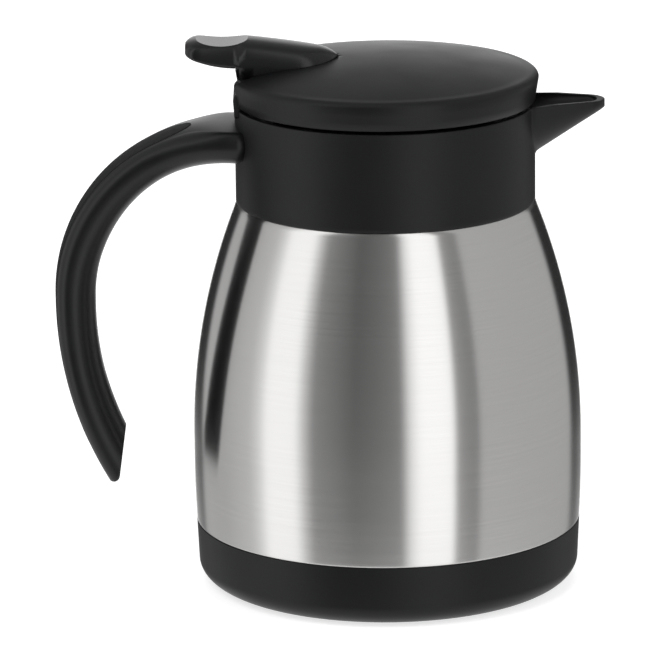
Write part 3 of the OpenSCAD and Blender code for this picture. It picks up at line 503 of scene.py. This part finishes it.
class CARAFE_OT_collar(bpy.types.Operator):
    """Collar and spout in one skin: at each angle and height the skin lies at the larger of the
    collar's radius and the spout's reach, with a fillet where they meet. Angle = pi (0.13 u +
    0.87 |u|^3.2), with u's sign and u from -1 to 1, so that the angles crowd round the spout."""

    bl_idname = "carafe.collar"
    bl_label = "Collar and spout"

    def execute(self, context):
        s = context.scene.carafe_sizes
        low, rim = s.shoulder_height / MM + 0.05, (s.shoulder_height + s.collar_height) / MM
        outer, wall = s.collar_radius / MM, COLLAR_WALL
        u = np.linspace(-1, 1, 760, endpoint=False)
        angle = np.pi * (0.13 * u + 0.87 * np.sign(u) * np.abs(u) ** 3.2)
        near = np.abs(angle) < SPOUT_ARC
        side = np.where(near, angle, SPOUT_ARC)
        lip_x = spout_reach_at(side, rim - 1.0, s, False) * np.cos(side)
        top = rim + SPOUT_RAISE * np.clip((lip_x - outer) / 8, 0, 1)
        top = np.where(near, top, rim)
        round_r = 0.35
        v = np.concatenate([np.linspace(0, 0.42, 14), np.linspace(0.43, 1, 120)])[:, None]
        z_out = low + 0.4 + v * (top - round_r - low - 0.4)
        beak = spout_reach_at(side + 0 * z_out, z_out, s, False)
        r_out = np.where(near, blend_max(np.full_like(beak, outer), beak, 1.6), outer)
        # Lower edge, side, rounded rim, land, then down the inside.
        q = np.linspace(0, np.pi / 2, 7)[1:, None]
        r_top = r_out[-1]
        rim_r = r_top - round_r * (1 - np.cos(q))
        rim_z = top - round_r + round_r * np.sin(q)
        w = np.linspace(0, 1, 90)[:, None]
        z_in = top - round_r - w * (top - round_r - WEB_TOP)
        chan = spout_reach_at(side + 0 * z_in, z_in, s, True)
        r_in = np.where(near, blend_max(np.full_like(chan, outer - wall), chan, 0.6), outer - wall)
        in_r = r_in[0] + round_r * (1 - np.cos(q[::-1]))
        in_z = top - round_r + round_r * np.sin(q[::-1])
        ring = np.ones_like(angle)
        inner = [(WEB_RADIUS, WEB_TOP), (WEB_RADIUS, WEB_LOW), (outer - wall, WEB_LOW), (outer - wall, low)]
        foot = [(outer - 0.4, low), (outer - 0.12, low + 0.12)]
        r = np.vstack([r_out, rim_r, in_r, r_in] + [a * ring for a, _ in inner + foot])
        z = np.vstack([z_out, rim_z, in_z, z_in] + [b * ring for _, b in inner + foot])
        rings = np.stack([r * np.cos(angle), r * np.sin(angle), z], -1)
        obj = closed_mesh("collar_shell", rings, loop=True)
        finish_piece(obj, FINISH["dark_plastic"], "carafe", "dark_plastic", "collar")
        self.ears(rim)
        return {"FINISHED"}

    def ears(self, rim):
        """Two hinge ears: a block whose head is a half circle about the hinge, extruded along Y."""
        hinge_z, r = rim + HINGE_RISE, EAR_RADIUS
        a = np.linspace(0, np.pi, 24)
        head = np.stack([HINGE_X + r * np.cos(a), hinge_z + r * np.sin(a)], -1)
        outline = np.vstack([head, [[HINGE_X - r + 0.4, rim - 2.4], [HINGE_X + r, rim - 2.4]]])
        inset = outline + 0.3 * (np.array([HINGE_X, hinge_z]) - outline) / r
        for side in (-1, 1):
            y0, y1 = side * 7.4, side * 11.4
            step = 0.3 * side
            rings = [np.stack([line[:, 0], np.full(len(line), y), line[:, 1]], -1)
                     for line, y in ((inset, y0), (outline, y0 + step), (outline, y1 - step), (inset, y1))]
            obj = closed_mesh("hinge_ear_" + ("near" if side < 0 else "far"), rings)
            finish_piece(obj, FINISH["dark_plastic"], "carafe", "dark_plastic")


# ---------------------------------------------------------------- handle
HANDLE_MID = 95.6
TOP_ARC = 55.6
LOW_ARC = 119.4
ROOT_ANGLE = math.radians(86)
TIP_ANGLE = math.pi + math.asin((HANDLE_MID - 34.3) / LOW_ARC)
UPPER = TOP_ARC * (math.pi - ROOT_ANGLE)
BEND = UPPER / (UPPER + LOW_ARC * (TIP_ANGLE - math.pi))


def handle_line(t, s):
    """Outer line of the handle: an upper arc and a lower arc with one tangent where they meet.
    Returns x, z and the outward angle at the share t of its length."""
    reach = s.handle_reach / MM
    upper = t < BEND
    a = np.where(upper, ROOT_ANGLE + (math.pi - ROOT_ANGLE) * t / BEND,
                 math.pi + (TIP_ANGLE - math.pi) * (t - BEND) / (1 - BEND))
    r = np.where(upper, TOP_ARC, LOW_ARC)
    return -reach + r + r * np.cos(a), HANDLE_MID + r * np.sin(a), a


def handle_lift(t, a):
    """How far the middle of the crowned back stands over the outer line, which the eye sees at
    the back's far edge: most where the handle lies level, and more at the root."""
    return 1.05 * np.abs(np.sin(a)) + 0.55 * (1 - ease((t - 0.06) / 0.14))


def handle_thick(t):
    """Thickness along the handle."""
    return 11.3 + 1.7 * ease((t - 0.1) / 0.36) - 0.85 * ease((t - 0.53) / 0.27)


def handle_half(t):
    """Half width along the handle: flared at the root, a little narrower at the tip."""
    return 17.9 - 4.5 * ease(t / 0.21) - 1.9 * ease((t - 0.79) / 0.27)


def handle_face(t):
    """Half width of the flat back: broad where it meets the collar, then just wider than the strip."""
    return 14.2 - 5.8 * ease((t - 0.015) / 0.085) - 0.9 * ease((t - 0.79) / 0.27)


# The strip: shares of the handle's length at which it starts and ends, its half width, and the
# lengths of its rounded upper and lower ends.
STRIP_START, STRIP_END, STRIP_HALF, STRIP_NOSE, STRIP_TAIL = 0.094, 0.93, 7.6, 0.07, 0.05
HANDLE_CROWN = 0.6
CHANNEL_DEEP = 0.5
# The steep cut runs through two points (x, z), and ends in a round nose.
CUT_HIGH, CUT_LOW, NOSE_RADIUS = np.array([-84.8, 54.5]), np.array([-87.1, 38.0]), 2.5
# Where the flank of the section meets its inner half, as a share of the thickness.
FLANK = 0.37


def strip_half(t, grow=0.0):
    """Half width of the strip, with half-round ends."""
    start = np.clip((t - STRIP_START) / STRIP_NOSE, 0, 1)
    end = np.clip((STRIP_END - t) / STRIP_TAIL, 0, 1)
    near = np.minimum(start, end)
    return (STRIP_HALF + grow) * np.sqrt(np.maximum(0, 1 - (1 - near) ** 2))


def place_section(y, n, t, s):
    """Section points (y across, n along the outward normal) at the share t of the handle."""
    x, z, a = handle_line(t, s)
    n = n + handle_lift(t, a)
    return np.stack([x + n * np.cos(a), y + 0 * x, z + n * np.sin(a)], -1)


class CARAFE_OT_handle(bpy.types.Operator):
    """Handle lofted along its two arcs. Half of its section is a crowned back, n = -crown (y /
    face)^2, with a shallow channel for the strip, a quarter-ellipse flank down to 0.37 of the
    thickness, and an inner half with y = w cos(c)^0.8 and n = -thick (0.37 + 0.63 sin(c)^0.9).
    The free end is a steep cut that runs into a round nose."""

    bl_idname = "carafe.handle"
    bl_label = "Handle"

    def execute(self, context):
        s = context.scene.carafe_sizes
        share = np.unique(np.concatenate([
            np.linspace(0, 1, 150),
            STRIP_START + STRIP_NOSE * np.linspace(0, 1, 30) ** 2,
            STRIP_END - STRIP_TAIL * np.linspace(0, 1, 30) ** 2]))[:, None]
        y, n = self.section(share, s)
        normal, down, centre, along = self.end_frame(s)

        def outside(points):
            """Whether points lie beyond the cut or beyond the nose."""
            d = points[..., [0, 2]] - centre
            beyond_nose = (d @ down > 0) & (d @ along > 0) & ((d ** 2).sum(-1) > NOSE_RADIUS ** 2)
            return ((points[..., [0, 2]] - CUT_HIGH) @ normal > 0) | beyond_nose

        limit = self.line_ends(y, n, share, s, outside)
        # Only the last stretch is drawn in to the end, so that the channel keeps its round ends.
        drawn = np.minimum(STRIP_END + 0.004, limit - 0.04)
        rows = np.where(share <= drawn, share, drawn + (share - drawn) * (limit - drawn) / (1 - drawn))
        yy, nn = self.at(y, n, share[:, 0], rows)
        rings = place_section(yy, nn, rows, s)
        # Rounded edge of the cut and the nose.
        end = rings[-1]
        d = end[:, [0, 2]] - centre
        on_nose = (d @ down > 0) & (d @ along > 0)
        out = np.where(on_nose[:, None], d / np.hypot(*d.T)[:, None], normal)
        out = np.stack([out[:, 0], 0 * out[:, 0], out[:, 1]], -1)
        inner_end = end.mean(0) * [1, 0, 1]
        face_rings = [end + (inner_end - end) * [0.3 * k, k, 0.3 * k] + out * up
                      for k, up in ((0.012, 0.09), (0.03, 0.13), (0.06, 0.14))]
        # The root runs on into the collar and follows its round wall.
        root = rings[0].copy()
        root[:, 0] = -np.sqrt((s.collar_radius / MM - 1.0) ** 2 - root[:, 1] ** 2)
        rings = np.concatenate([root[None], rings, face_rings])
        obj = closed_mesh("handle_grip", rings, zipped=True)
        finish_piece(obj, FINISH["handle_plastic"], "carafe", "dark_plastic", "handle")
        self.strip(s)
        return {"FINISHED"}

    @staticmethod
    def section(share, s):
        """Section points for each share: half a section from the middle of the back to the middle
        of the inner face, and its mirror. Returns y (across) and n (along the outward normal)."""
        groove = strip_half(share, 0.25)
        depth = CHANNEL_DEEP * (groove > 0.4)
        w, face = handle_half(share), handle_face(share)
        thick = handle_thick(share) + handle_lift(share, handle_line(share, s)[2])
        inside, edge = np.linspace(0, 1, 8)[None, :], np.linspace(0, 1, 10)[None, :]
        rim = np.maximum(groove, 0.03)
        floor_y, floor_n = inside * np.maximum(groove - 0.05, 0.02), -depth + 0 * inside
        back_y, back_n = rim + edge * (face - 0.35 - rim), 0 * edge * w
        edge_y, edge_n = face + np.array([[-0.2, 0.0]]), 0 * face + np.array([[0.0, -0.01]])
        floor_n, back_n, edge_n = (
            nn - HANDLE_CROWN * (yy / face) ** 2
            for yy, nn in ((floor_y, floor_n), (back_y, back_n), (edge_y, edge_n)))
        b = np.radians(np.linspace(6, 90, 16))[None, :]
        flank_y = face + (w - face) * np.sin(b)
        flank_n = -HANDLE_CROWN - (thick * FLANK - HANDLE_CROWN) * (1 - np.cos(b)) - 0.02
        c = np.radians(np.linspace(4, 90, 26))[None, :]
        inner_y = w * np.cos(c) ** 0.8
        inner_n = -thick * (FLANK + (1 - FLANK) * np.sin(c) ** 0.9)
        y = np.hstack([floor_y, back_y, edge_y, flank_y, inner_y])
        n = np.hstack([floor_n, back_n, edge_n, flank_n, inner_n])
        return np.hstack([y, -y[:, -2:0:-1]]), np.hstack([n, n[:, -2:0:-1]])

    @staticmethod
    def end_frame(s):
        """The cut's normal and its direction downwards, and the nose: its centre lies its radius
        inside the cut and inside the back's arc, and along points down that arc."""
        down = CUT_LOW - CUT_HIGH
        normal = np.array([-down[1], down[0]]) / np.hypot(*down)
        down = down / np.hypot(*down)
        mid_arc = np.array([LOW_ARC - s.handle_reach / MM, HANDLE_MID])
        start = CUT_HIGH - NOSE_RADIUS * normal - mid_arc
        side = start @ down
        centre = CUT_HIGH - NOSE_RADIUS * normal + down * (
            -side + math.sqrt(side ** 2 - start @ start + (LOW_ARC + 0.45 - NOSE_RADIUS) ** 2))
        along = np.array([-(centre - mid_arc)[1], (centre - mid_arc)[0]])
        return normal, down, centre, along

    def line_ends(self, y, n, share, s, outside):
        """Share at which each line along the handle meets the end, found in three finer steps."""
        beyond = outside(place_section(y, n, share + 0 * y, s)) & (share + 0 * y > 0.6)
        first = np.argmax(beyond, 0)
        limit = np.where(beyond.any(0), share[np.maximum(first - 1, 0), 0], 1.0)
        fine = np.linspace(0, 1, 12)
        for turn in range(3):
            trial = limit[None] + fine[:, None] / 150 / 11 ** turn
            out = outside(place_section(*self.at(y, n, share[:, 0], trial), trial, s))
            last_in = trial[np.maximum(np.argmax(out, 0) - 1, 0), np.arange(len(limit))]
            limit = np.where(out.any(0), last_in, limit)
        return limit

    @staticmethod
    def at(y, n, share, rows):
        """Section points at other shares of the length, by straight interpolation."""
        k = np.clip(np.searchsorted(share, rows, side="right") - 1, 0, len(share) - 2)
        f = (rows - share[k]) / (share[k + 1] - share[k])
        col = np.arange(y.shape[1])[None, :]
        return (y[k, col] * (1 - f) + y[k + 1, col] * f, n[k, col] * (1 - f) + n[k + 1, col] * f)

    def strip(self, s):
        """Soft strip: a low pad that lies in the channel, with quarter-round edges and the crown
        of the back."""
        share = np.unique(np.concatenate([
            np.linspace(STRIP_START + STRIP_NOSE + 0.001, STRIP_END - STRIP_TAIL - 0.001, 90),
            STRIP_START + STRIP_NOSE * np.linspace(0.02, 1, 30) ** 2,
            STRIP_END - STRIP_TAIL * np.linspace(0.02, 1, 30) ** 2]))[:, None]
        w = strip_half(share)
        q = np.radians(np.linspace(0, 90, 6))[None, :]
        edge = np.minimum(0.4, 0.5 * w)
        y = np.hstack([np.linspace(0, 1, 8)[None, :] * (w - edge), w - edge + edge * np.sin(q[:, 1:]), w])
        n = np.hstack([np.full((len(w), 8), 0.12), 0.12 - 0.4 * (1 - np.cos(q[:, 1:])) + 0 * w, -0.48 + 0 * w])
        y = np.hstack([y, -y[:, ::-1][:, :-1]])
        n = np.hstack([n, n[:, ::-1][:, :-1]])
        n = n - HANDLE_CROWN * (y / handle_face(share)) ** 2
        rings = place_section(y, n, share + 0 * y, s)
        obj = closed_mesh("grip_strip", rings)
        finish_piece(obj, FINISH["soft_grip"], "carafe", "soft_grip", "handle_strip")


# ---------------------------------------------------------------- lid, lever and inner parts
HOLLOW_X, HOLLOW_LONG, HOLLOW_DEEP, CREST_Z = 52.0, 8.5, 1.4, 180.0


class CARAFE_OT_lid(bpy.types.Operator):
    """Lid moulding and thumb lever."""

    bl_idname = "carafe.lid"
    bl_label = "Lid and lever"

    def execute(self, context):
        obj = smoothed_copy("lid_cover", "lid_shell")
        finish_piece(obj, FINISH["lid_plastic"], "lid", "lid_plastic", "lid_cover")
        obj = smoothed_copy("thumb_lever", "lever_shell")
        self.polish(obj.data)
        finish_piece(obj, FINISH["lever_plastic"], "lever", "lid_plastic", "thumb_lever")
        return {"FINISHED"}

    @staticmethod
    def polish(mesh):
        """Marks the thumb hollow, a trough about Y, as polished, with a crisp edge round it: a face
        belongs to it when its corners keep the trough's radius from the trough's axis."""
        points = np.array([v.co for v in mesh.vertices]) / MM
        radius = (HOLLOW_LONG ** 2 + HOLLOW_DEEP ** 2) / (2 * HOLLOW_DEEP)
        axis_z = CREST_Z + radius - HOLLOW_DEEP
        off = np.abs(np.hypot(points[:, 0] + HOLLOW_X, points[:, 2] - axis_z) - radius)
        on = off < 0.02
        hollow = np.array([on[list(f.vertices)].all() for f in mesh.polygons])
        mark = mesh.attributes.new("polish", "FLOAT", "CORNER")
        mark.data.foreach_set("value", np.repeat(hollow, [f.loop_total for f in mesh.polygons]).astype(float))
        sharp = mesh.attributes.get("sharp_edge") or mesh.attributes.new("sharp_edge", "BOOLEAN", "EDGE")
        count = np.zeros((len(mesh.edges), 2), int)
        edges = np.array([l.edge_index for l in mesh.loops])
        owner = np.repeat(hollow, [f.loop_total for f in mesh.polygons]).astype(int)
        np.add.at(count, (edges, owner), 1)
        old = np.zeros(len(mesh.edges), bool)
        sharp.data.foreach_get("value", old)
        sharp.data.foreach_set("value", old | ((count > 0).all(1)))


class CARAFE_OT_inner_parts(bpy.types.Operator):
    """Finishes of the pieces that keep their solid's shape."""

    bl_idname = "carafe.inner_parts"
    bl_label = "Inner parts"

    def execute(self, context):
        slots = {part["node"]: part["material_slot"] for part in frame["record"]["subparts"]}
        for name, obj in frame["nodes"].items():
            obj.data.materials.clear()
            obj.data.materials.append(FINISH[slots[name]])
        return {"FINISHED"}


class CARAFE_OT_finishes(bpy.types.Operator):
    """Makes the finishes that the pieces share."""

    bl_idname = "carafe.finishes"
    bl_label = "Finishes"

    def execute(self, context):
        f = context.scene.carafe_finishes
        FINISH["steel"] = brushed_steel("brushed_steel", f.steel, f.steel_gloss)
        FINISH["bright_steel"] = turned_steel("bright_steel")
        FINISH["dark_plastic"] = moulded("dark_plastic", f.dark_plastic, 0.45, specular=0.3)
        FINISH["handle_plastic"] = moulded("handle_plastic", f.dark_plastic, 0.36, grain=0.1, specular=0.36)
        FINISH["lid_plastic"] = moulded("lid_plastic", f.lid_plastic, 0.42, grain=0.15, specular=0.3)
        FINISH["lever_plastic"] = moulded("lever_plastic", f.lid_plastic, 0.28, grain=0.1, specular=0.42,
                                          polished=0.1)
        FINISH["soft_grip"] = rubbery("soft_grip", f.soft_grip, 0.7, specular=0.25)
        FINISH["pad_rubber"] = rubbery("pad_rubber", f.soft_grip, 0.8)
        FINISH["silicone"] = rubbery("silicone", f.silicone, 0.45, scatter=0.4)
        FINISH["valve_plastic"] = moulded("valve_plastic", f.valve_plastic, 0.35)
        FINISH["foam"] = foamed("foam")
        return {"FINISHED"}


# ---------------------------------------------------------------- stage
# Panels of the light tent: angle from the camera in degrees, positive to the right, and the
# brightness there. Between two angles the brightness changes evenly.
PANELS = [(-180, 1.9), (-168, 1.6), (-150, 0.55), (-113, 0.54), (-90, 0.68), (-82, 0.95), (-76, 1.4),
          (-57, 1.4), (-51, 0.75), (-45, 0.3), (-32, 0.22), (-20, 0.14), (-8, 0.18), (7.5, 0.26), (13, 1.1),
          (19, 1.5), (38, 1.5), (41, 0.4), (47, 0.33), (53.5, 0.27), (56.5, 0.57), (108, 0.54), (150, 0.5),
          (168, 1.6), (180, 1.9)]
# Black flags behind the carafe, 1 where they stand. They end above the floor.
FLAGS = [(-180, 0), (-171, 0), (-166, 1), (-145, 1), (-140, 0), (135, 0), (141, 1), (166, 1), (171, 0)]
# The roof behind the carafe, 1 where it is.
BACK = [(-180, 1), (-155, 1), (-125, 0), (125, 0), (155, 1)]
ROOF = 0.32
FLAG = 0.03
TENT = [[5000, -2900], [5000, 1500], [1, 4200]]
# Floor: how bright it is where it is seen, beside its own glow, and where it only lights things.
FLOOR_SEEN, FLOOR_GLOW, FLOOR_LIGHT = 0.5, 0.72, 0.7
WORLD_LIGHT = 0.45


class CARAFE_OT_stage(bpy.types.Operator):
    """Camera, floor, lamps and the tent that the steel reflects."""

    bl_idname = "carafe.stage"
    bl_label = "Stage"

    def execute(self, context):
        p = context.scene.carafe_stage
        self.camera(context, p)
        self.floor(p)
        self.tent()
        self.world(context)
        self.lamp("key", (-0.9, -1.3, 1.9), 1.3, 26)
        self.lamp("fill", (1.4, -1.0, 1.2), 1.2, 12)
        self.lamp("back", (0.1, 1.5, 1.6), 1.4, 24)
        return {"FINISHED"}

    def camera(self, context, p):
        """Camera at the photograph's place: pitch, then roll about the line of sight."""
        data = bpy.data.cameras.new("camera")
        data.lens, data.sensor_width, data.clip_end = p.lens, 36, 20
        cam = bpy.data.objects.new("camera", data)
        context.scene.collection.objects.link(cam)
        level = math.cos(p.pitch)
        look = Vector((level * math.sin(p.yaw), level * math.cos(p.yaw), -math.sin(p.pitch)))
        right = Vector((math.cos(p.yaw), -math.sin(p.yaw), 0))
        up = right.cross(look)
        across = math.cos(p.roll) * right + math.sin(p.roll) * up
        over = -math.sin(p.roll) * right + math.cos(p.roll) * up
        turn = Matrix((across, over, -look)).transposed().to_4x4()
        cam.matrix_world = Matrix.Translation(Vector(p.eye)) @ turn
        context.scene.camera = cam

    def floor(self, p):
        """White floor: seen by the camera it glows just enough to be white, and keeps shadows."""
        h = p.floor_size / 2
        mesh = bpy.data.meshes.new("floor")
        mesh.from_pydata([(-h, -h, 0), (h, -h, 0), (h, h, 0), (-h, h, 0)], [], [(0, 1, 2, 3)])
        obj = bpy.data.objects.new("floor", mesh)
        bpy.context.scene.collection.objects.link(obj)
        mat = bpy.data.materials.new("floor_white")
        mat.use_nodes = True
        tree = mat.node_tree
        tree.nodes.clear()
        out = add(tree, "ShaderNodeOutputMaterial")
        lit = add(tree, "ShaderNodeBsdfDiffuse")
        lit.inputs["Color"].default_value = (FLOOR_SEEN, FLOOR_SEEN, FLOOR_SEEN, 1)
        glow = add(tree, "ShaderNodeEmission")
        glow.inputs["Strength"].default_value = FLOOR_GLOW
        both = add(tree, "ShaderNodeAddShader")
        plain = add(tree, "ShaderNodeBsdfDiffuse")
        plain.inputs["Color"].default_value = (FLOOR_LIGHT, FLOOR_LIGHT, FLOOR_LIGHT, 1)
        pick = add(tree, "ShaderNodeMixShader")
        tree.links.new(self.seen(tree), pick.inputs["Fac"])
        tree.links.new(lit.outputs[0], both.inputs[0])
        tree.links.new(glow.outputs[0], both.inputs[1])
        tree.links.new(plain.outputs[0], pick.inputs[1])
        tree.links.new(both.outputs[0], pick.inputs[2])
        tree.links.new(pick.outputs[0], out.inputs["Surface"])
        mesh.materials.append(mat)
        obj.visible_glossy = False

    @staticmethod
    def seen(tree):
        """1 for camera, glossy and transmission rays."""
        path = add(tree, "ShaderNodeLightPath")
        a = add(tree, "ShaderNodeMath", operation="MAXIMUM")
        b = add(tree, "ShaderNodeMath", operation="MAXIMUM")
        tree.links.new(path.outputs["Is Camera Ray"], a.inputs[0])
        tree.links.new(path.outputs["Is Glossy Ray"], a.inputs[1])
        tree.links.new(a.outputs[0], b.inputs[0])
        tree.links.new(path.outputs["Is Transmission Ray"], b.inputs[1])
        return b.outputs[0]

    def world(self, context):
        """White surroundings for what is seen, a softer white for what lights the object."""
        world = bpy.data.worlds.new("studio")
        context.scene.world = world
        world.use_nodes = True
        tree = world.node_tree
        back = tree.nodes["Background"]
        level = add(tree, "ShaderNodeMapRange")
        level.inputs["To Min"].default_value = WORLD_LIGHT
        level.inputs["To Max"].default_value = 1.0
        tree.links.new(self.seen(tree), level.inputs["Value"])
        tree.links.new(level.outputs["Result"], back.inputs["Strength"])
        back.inputs["Color"].default_value = (1, 1, 1, 1)
        context.scene.view_settings.view_transform = "Standard"

    def tent(self):
        """Tent of bright and dark panels round the object, which only reflections see."""
        mesh = bpy.data.meshes.new("tent")
        rings = spin(TENT, 180)
        m, n = rings.shape[:2]
        i, j = np.arange(n), np.arange(m - 1)[:, None]
        k = (i + 1) % n
        quads = np.stack([j * n + i, j * n + k, (j + 1) * n + k, (j + 1) * n + i], -1).reshape(-1, 4)
        mesh.from_pydata((rings.reshape(-1, 3) * MM).tolist(), [], quads.tolist())
        mesh.shade_smooth()
        obj = bpy.data.objects.new("tent", mesh)
        bpy.context.scene.collection.objects.link(obj)
        obj.visible_camera = False
        obj.visible_diffuse = False
        obj.visible_shadow = False
        obj.visible_transmission = False
        mat = bpy.data.materials.new("tent_panels")
        mat.use_nodes = True
        tree = mat.node_tree
        tree.nodes.clear()
        out = add(tree, "ShaderNodeOutputMaterial")
        glow = add(tree, "ShaderNodeEmission")
        place = add(tree, "ShaderNodeTexCoord")
        split = add(tree, "ShaderNodeSeparateXYZ")
        back = add(tree, "ShaderNodeMath", operation="MULTIPLY")
        back.inputs[1].default_value = -1
        turn = add(tree, "ShaderNodeMath", operation="ARCTAN2")
        share = add(tree, "ShaderNodeMapRange")
        share.inputs["From Min"].default_value = -math.pi
        share.inputs["From Max"].default_value = math.pi
        tree.links.new(place.outputs["Object"], split.inputs[0])
        tree.links.new(split.outputs["Y"], back.inputs[0])
        tree.links.new(split.outputs["X"], turn.inputs[0])
        tree.links.new(back.outputs[0], turn.inputs[1])
        tree.links.new(turn.outputs[0], share.inputs["Value"])
        level, flag, behind = (self.around(tree, share.outputs["Result"], stops)
                               for stops in (PANELS, FLAGS, BACK))
        # The flags fade out towards the floor, and the roof comes in above.
        up = split.outputs["Z"]
        flag = self.times(tree, flag, spread(tree, up, 0.5, 1.0, -1.75, -1.1))
        level = self.mixed(tree, flag, level, FLAG)
        roof = self.times(tree, behind, spread(tree, up, 0, 1, 0.2, 2.2))
        level = self.mixed(tree, roof, level, ROOF)
        tree.links.new(level, glow.inputs["Strength"])
        tree.links.new(glow.outputs[0], out.inputs["Surface"])
        mesh.materials.append(mat)

    @staticmethod
    def around(tree, share, stops):
        """Level that follows the angle round the object, straight from stop to stop."""
        ramp = add(tree, "ShaderNodeValToRGB")
        ramp.color_ramp.interpolation = "LINEAR"
        elements = ramp.color_ramp.elements
        for index, (angle, level) in enumerate(stops):
            e = elements[index] if index < 2 else elements.new(angle / 360 + 0.5)
            e.position = angle / 360 + 0.5
            e.color = (level, level, level, 1)
        tree.links.new(share, ramp.inputs["Fac"])
        return ramp.outputs["Color"]

    @staticmethod
    def times(tree, a, b):
        """Product of two values."""
        node = add(tree, "ShaderNodeMath", operation="MULTIPLY")
        tree.links.new(a, node.inputs[0])
        tree.links.new(b, node.inputs[1])
        return node.outputs[0]

    @staticmethod
    def mixed(tree, factor, value, other):
        """A value that turns into a fixed level as the factor rises to 1."""
        node = add(tree, "ShaderNodeMix", data_type="FLOAT")
        node.inputs["B"].default_value = other
        tree.links.new(factor, node.inputs["Factor"])
        tree.links.new(value, node.inputs["A"])
        return node.outputs["Result"]

    def lamp(self, name, place, size, power):
        """Square soft lamp that faces the carafe's middle."""
        data = bpy.data.lights.new(name, "AREA")
        data.shape, data.size, data.energy = "SQUARE", size, power
        obj = bpy.data.objects.new(name, data)
        bpy.context.scene.collection.objects.link(obj)
        obj.location = place
        obj.rotation_euler = (Vector((0, 0, 0.09)) - Vector(place)).to_track_quat("-Z", "Y").to_euler()
        obj.visible_glossy = False


# ---------------------------------------------------------------- panel and registration
STEPS = (CARAFE_OT_finishes, CARAFE_OT_inner_parts, CARAFE_OT_flask, CARAFE_OT_base, CARAFE_OT_collar,
         CARAFE_OT_handle, CARAFE_OT_lid, CARAFE_OT_stage)


class CARAFE_PT_panel(bpy.types.Panel):
    """Lists the carafe's steps and its sizes."""

    bl_label = "Carafe"
    bl_space_type = "VIEW_3D"
    bl_region_type = "UI"
    bl_category = "Carafe"

    def draw(self, context):
        for step in STEPS:
            self.layout.operator(step.bl_idname)
        for group in (context.scene.carafe_sizes, context.scene.carafe_finishes, context.scene.carafe_stage):
            for key in group.bl_rna.properties.keys():
                if key not in {"rna_type", "name"}:
                    self.layout.prop(group, key)


CLASSES = (CarafeSizes, CarafeFinishes, StageSettings) + STEPS + (CARAFE_PT_panel,)


def register():
    """Registers the classes and hangs the settings on the scene."""
    for cls in CLASSES:
        bpy.utils.register_class(cls)
    bpy.types.Scene.carafe_sizes = bpy.props.PointerProperty(type=CarafeSizes)
    bpy.types.Scene.carafe_finishes = bpy.props.PointerProperty(type=CarafeFinishes)
    bpy.types.Scene.carafe_stage = bpy.props.PointerProperty(type=StageSettings)


def unregister():
    """Takes the settings and the classes away again."""
    del bpy.types.Scene.carafe_stage
    del bpy.types.Scene.carafe_finishes
    del bpy.types.Scene.carafe_sizes
    for cls in reversed(CLASSES):
        bpy.utils.unregister_class(cls)


def main():
    """Builds the scene."""
    register()
    bpy.ops.carafe.finishes()
    bpy.ops.carafe.inner_parts()
    bpy.ops.carafe.flask()
    bpy.ops.carafe.base()
    bpy.ops.carafe.collar()
    bpy.ops.carafe.handle()
    bpy.ops.carafe.lid()
    bpy.ops.carafe.stage()


if __name__ == "__main__":
    main()
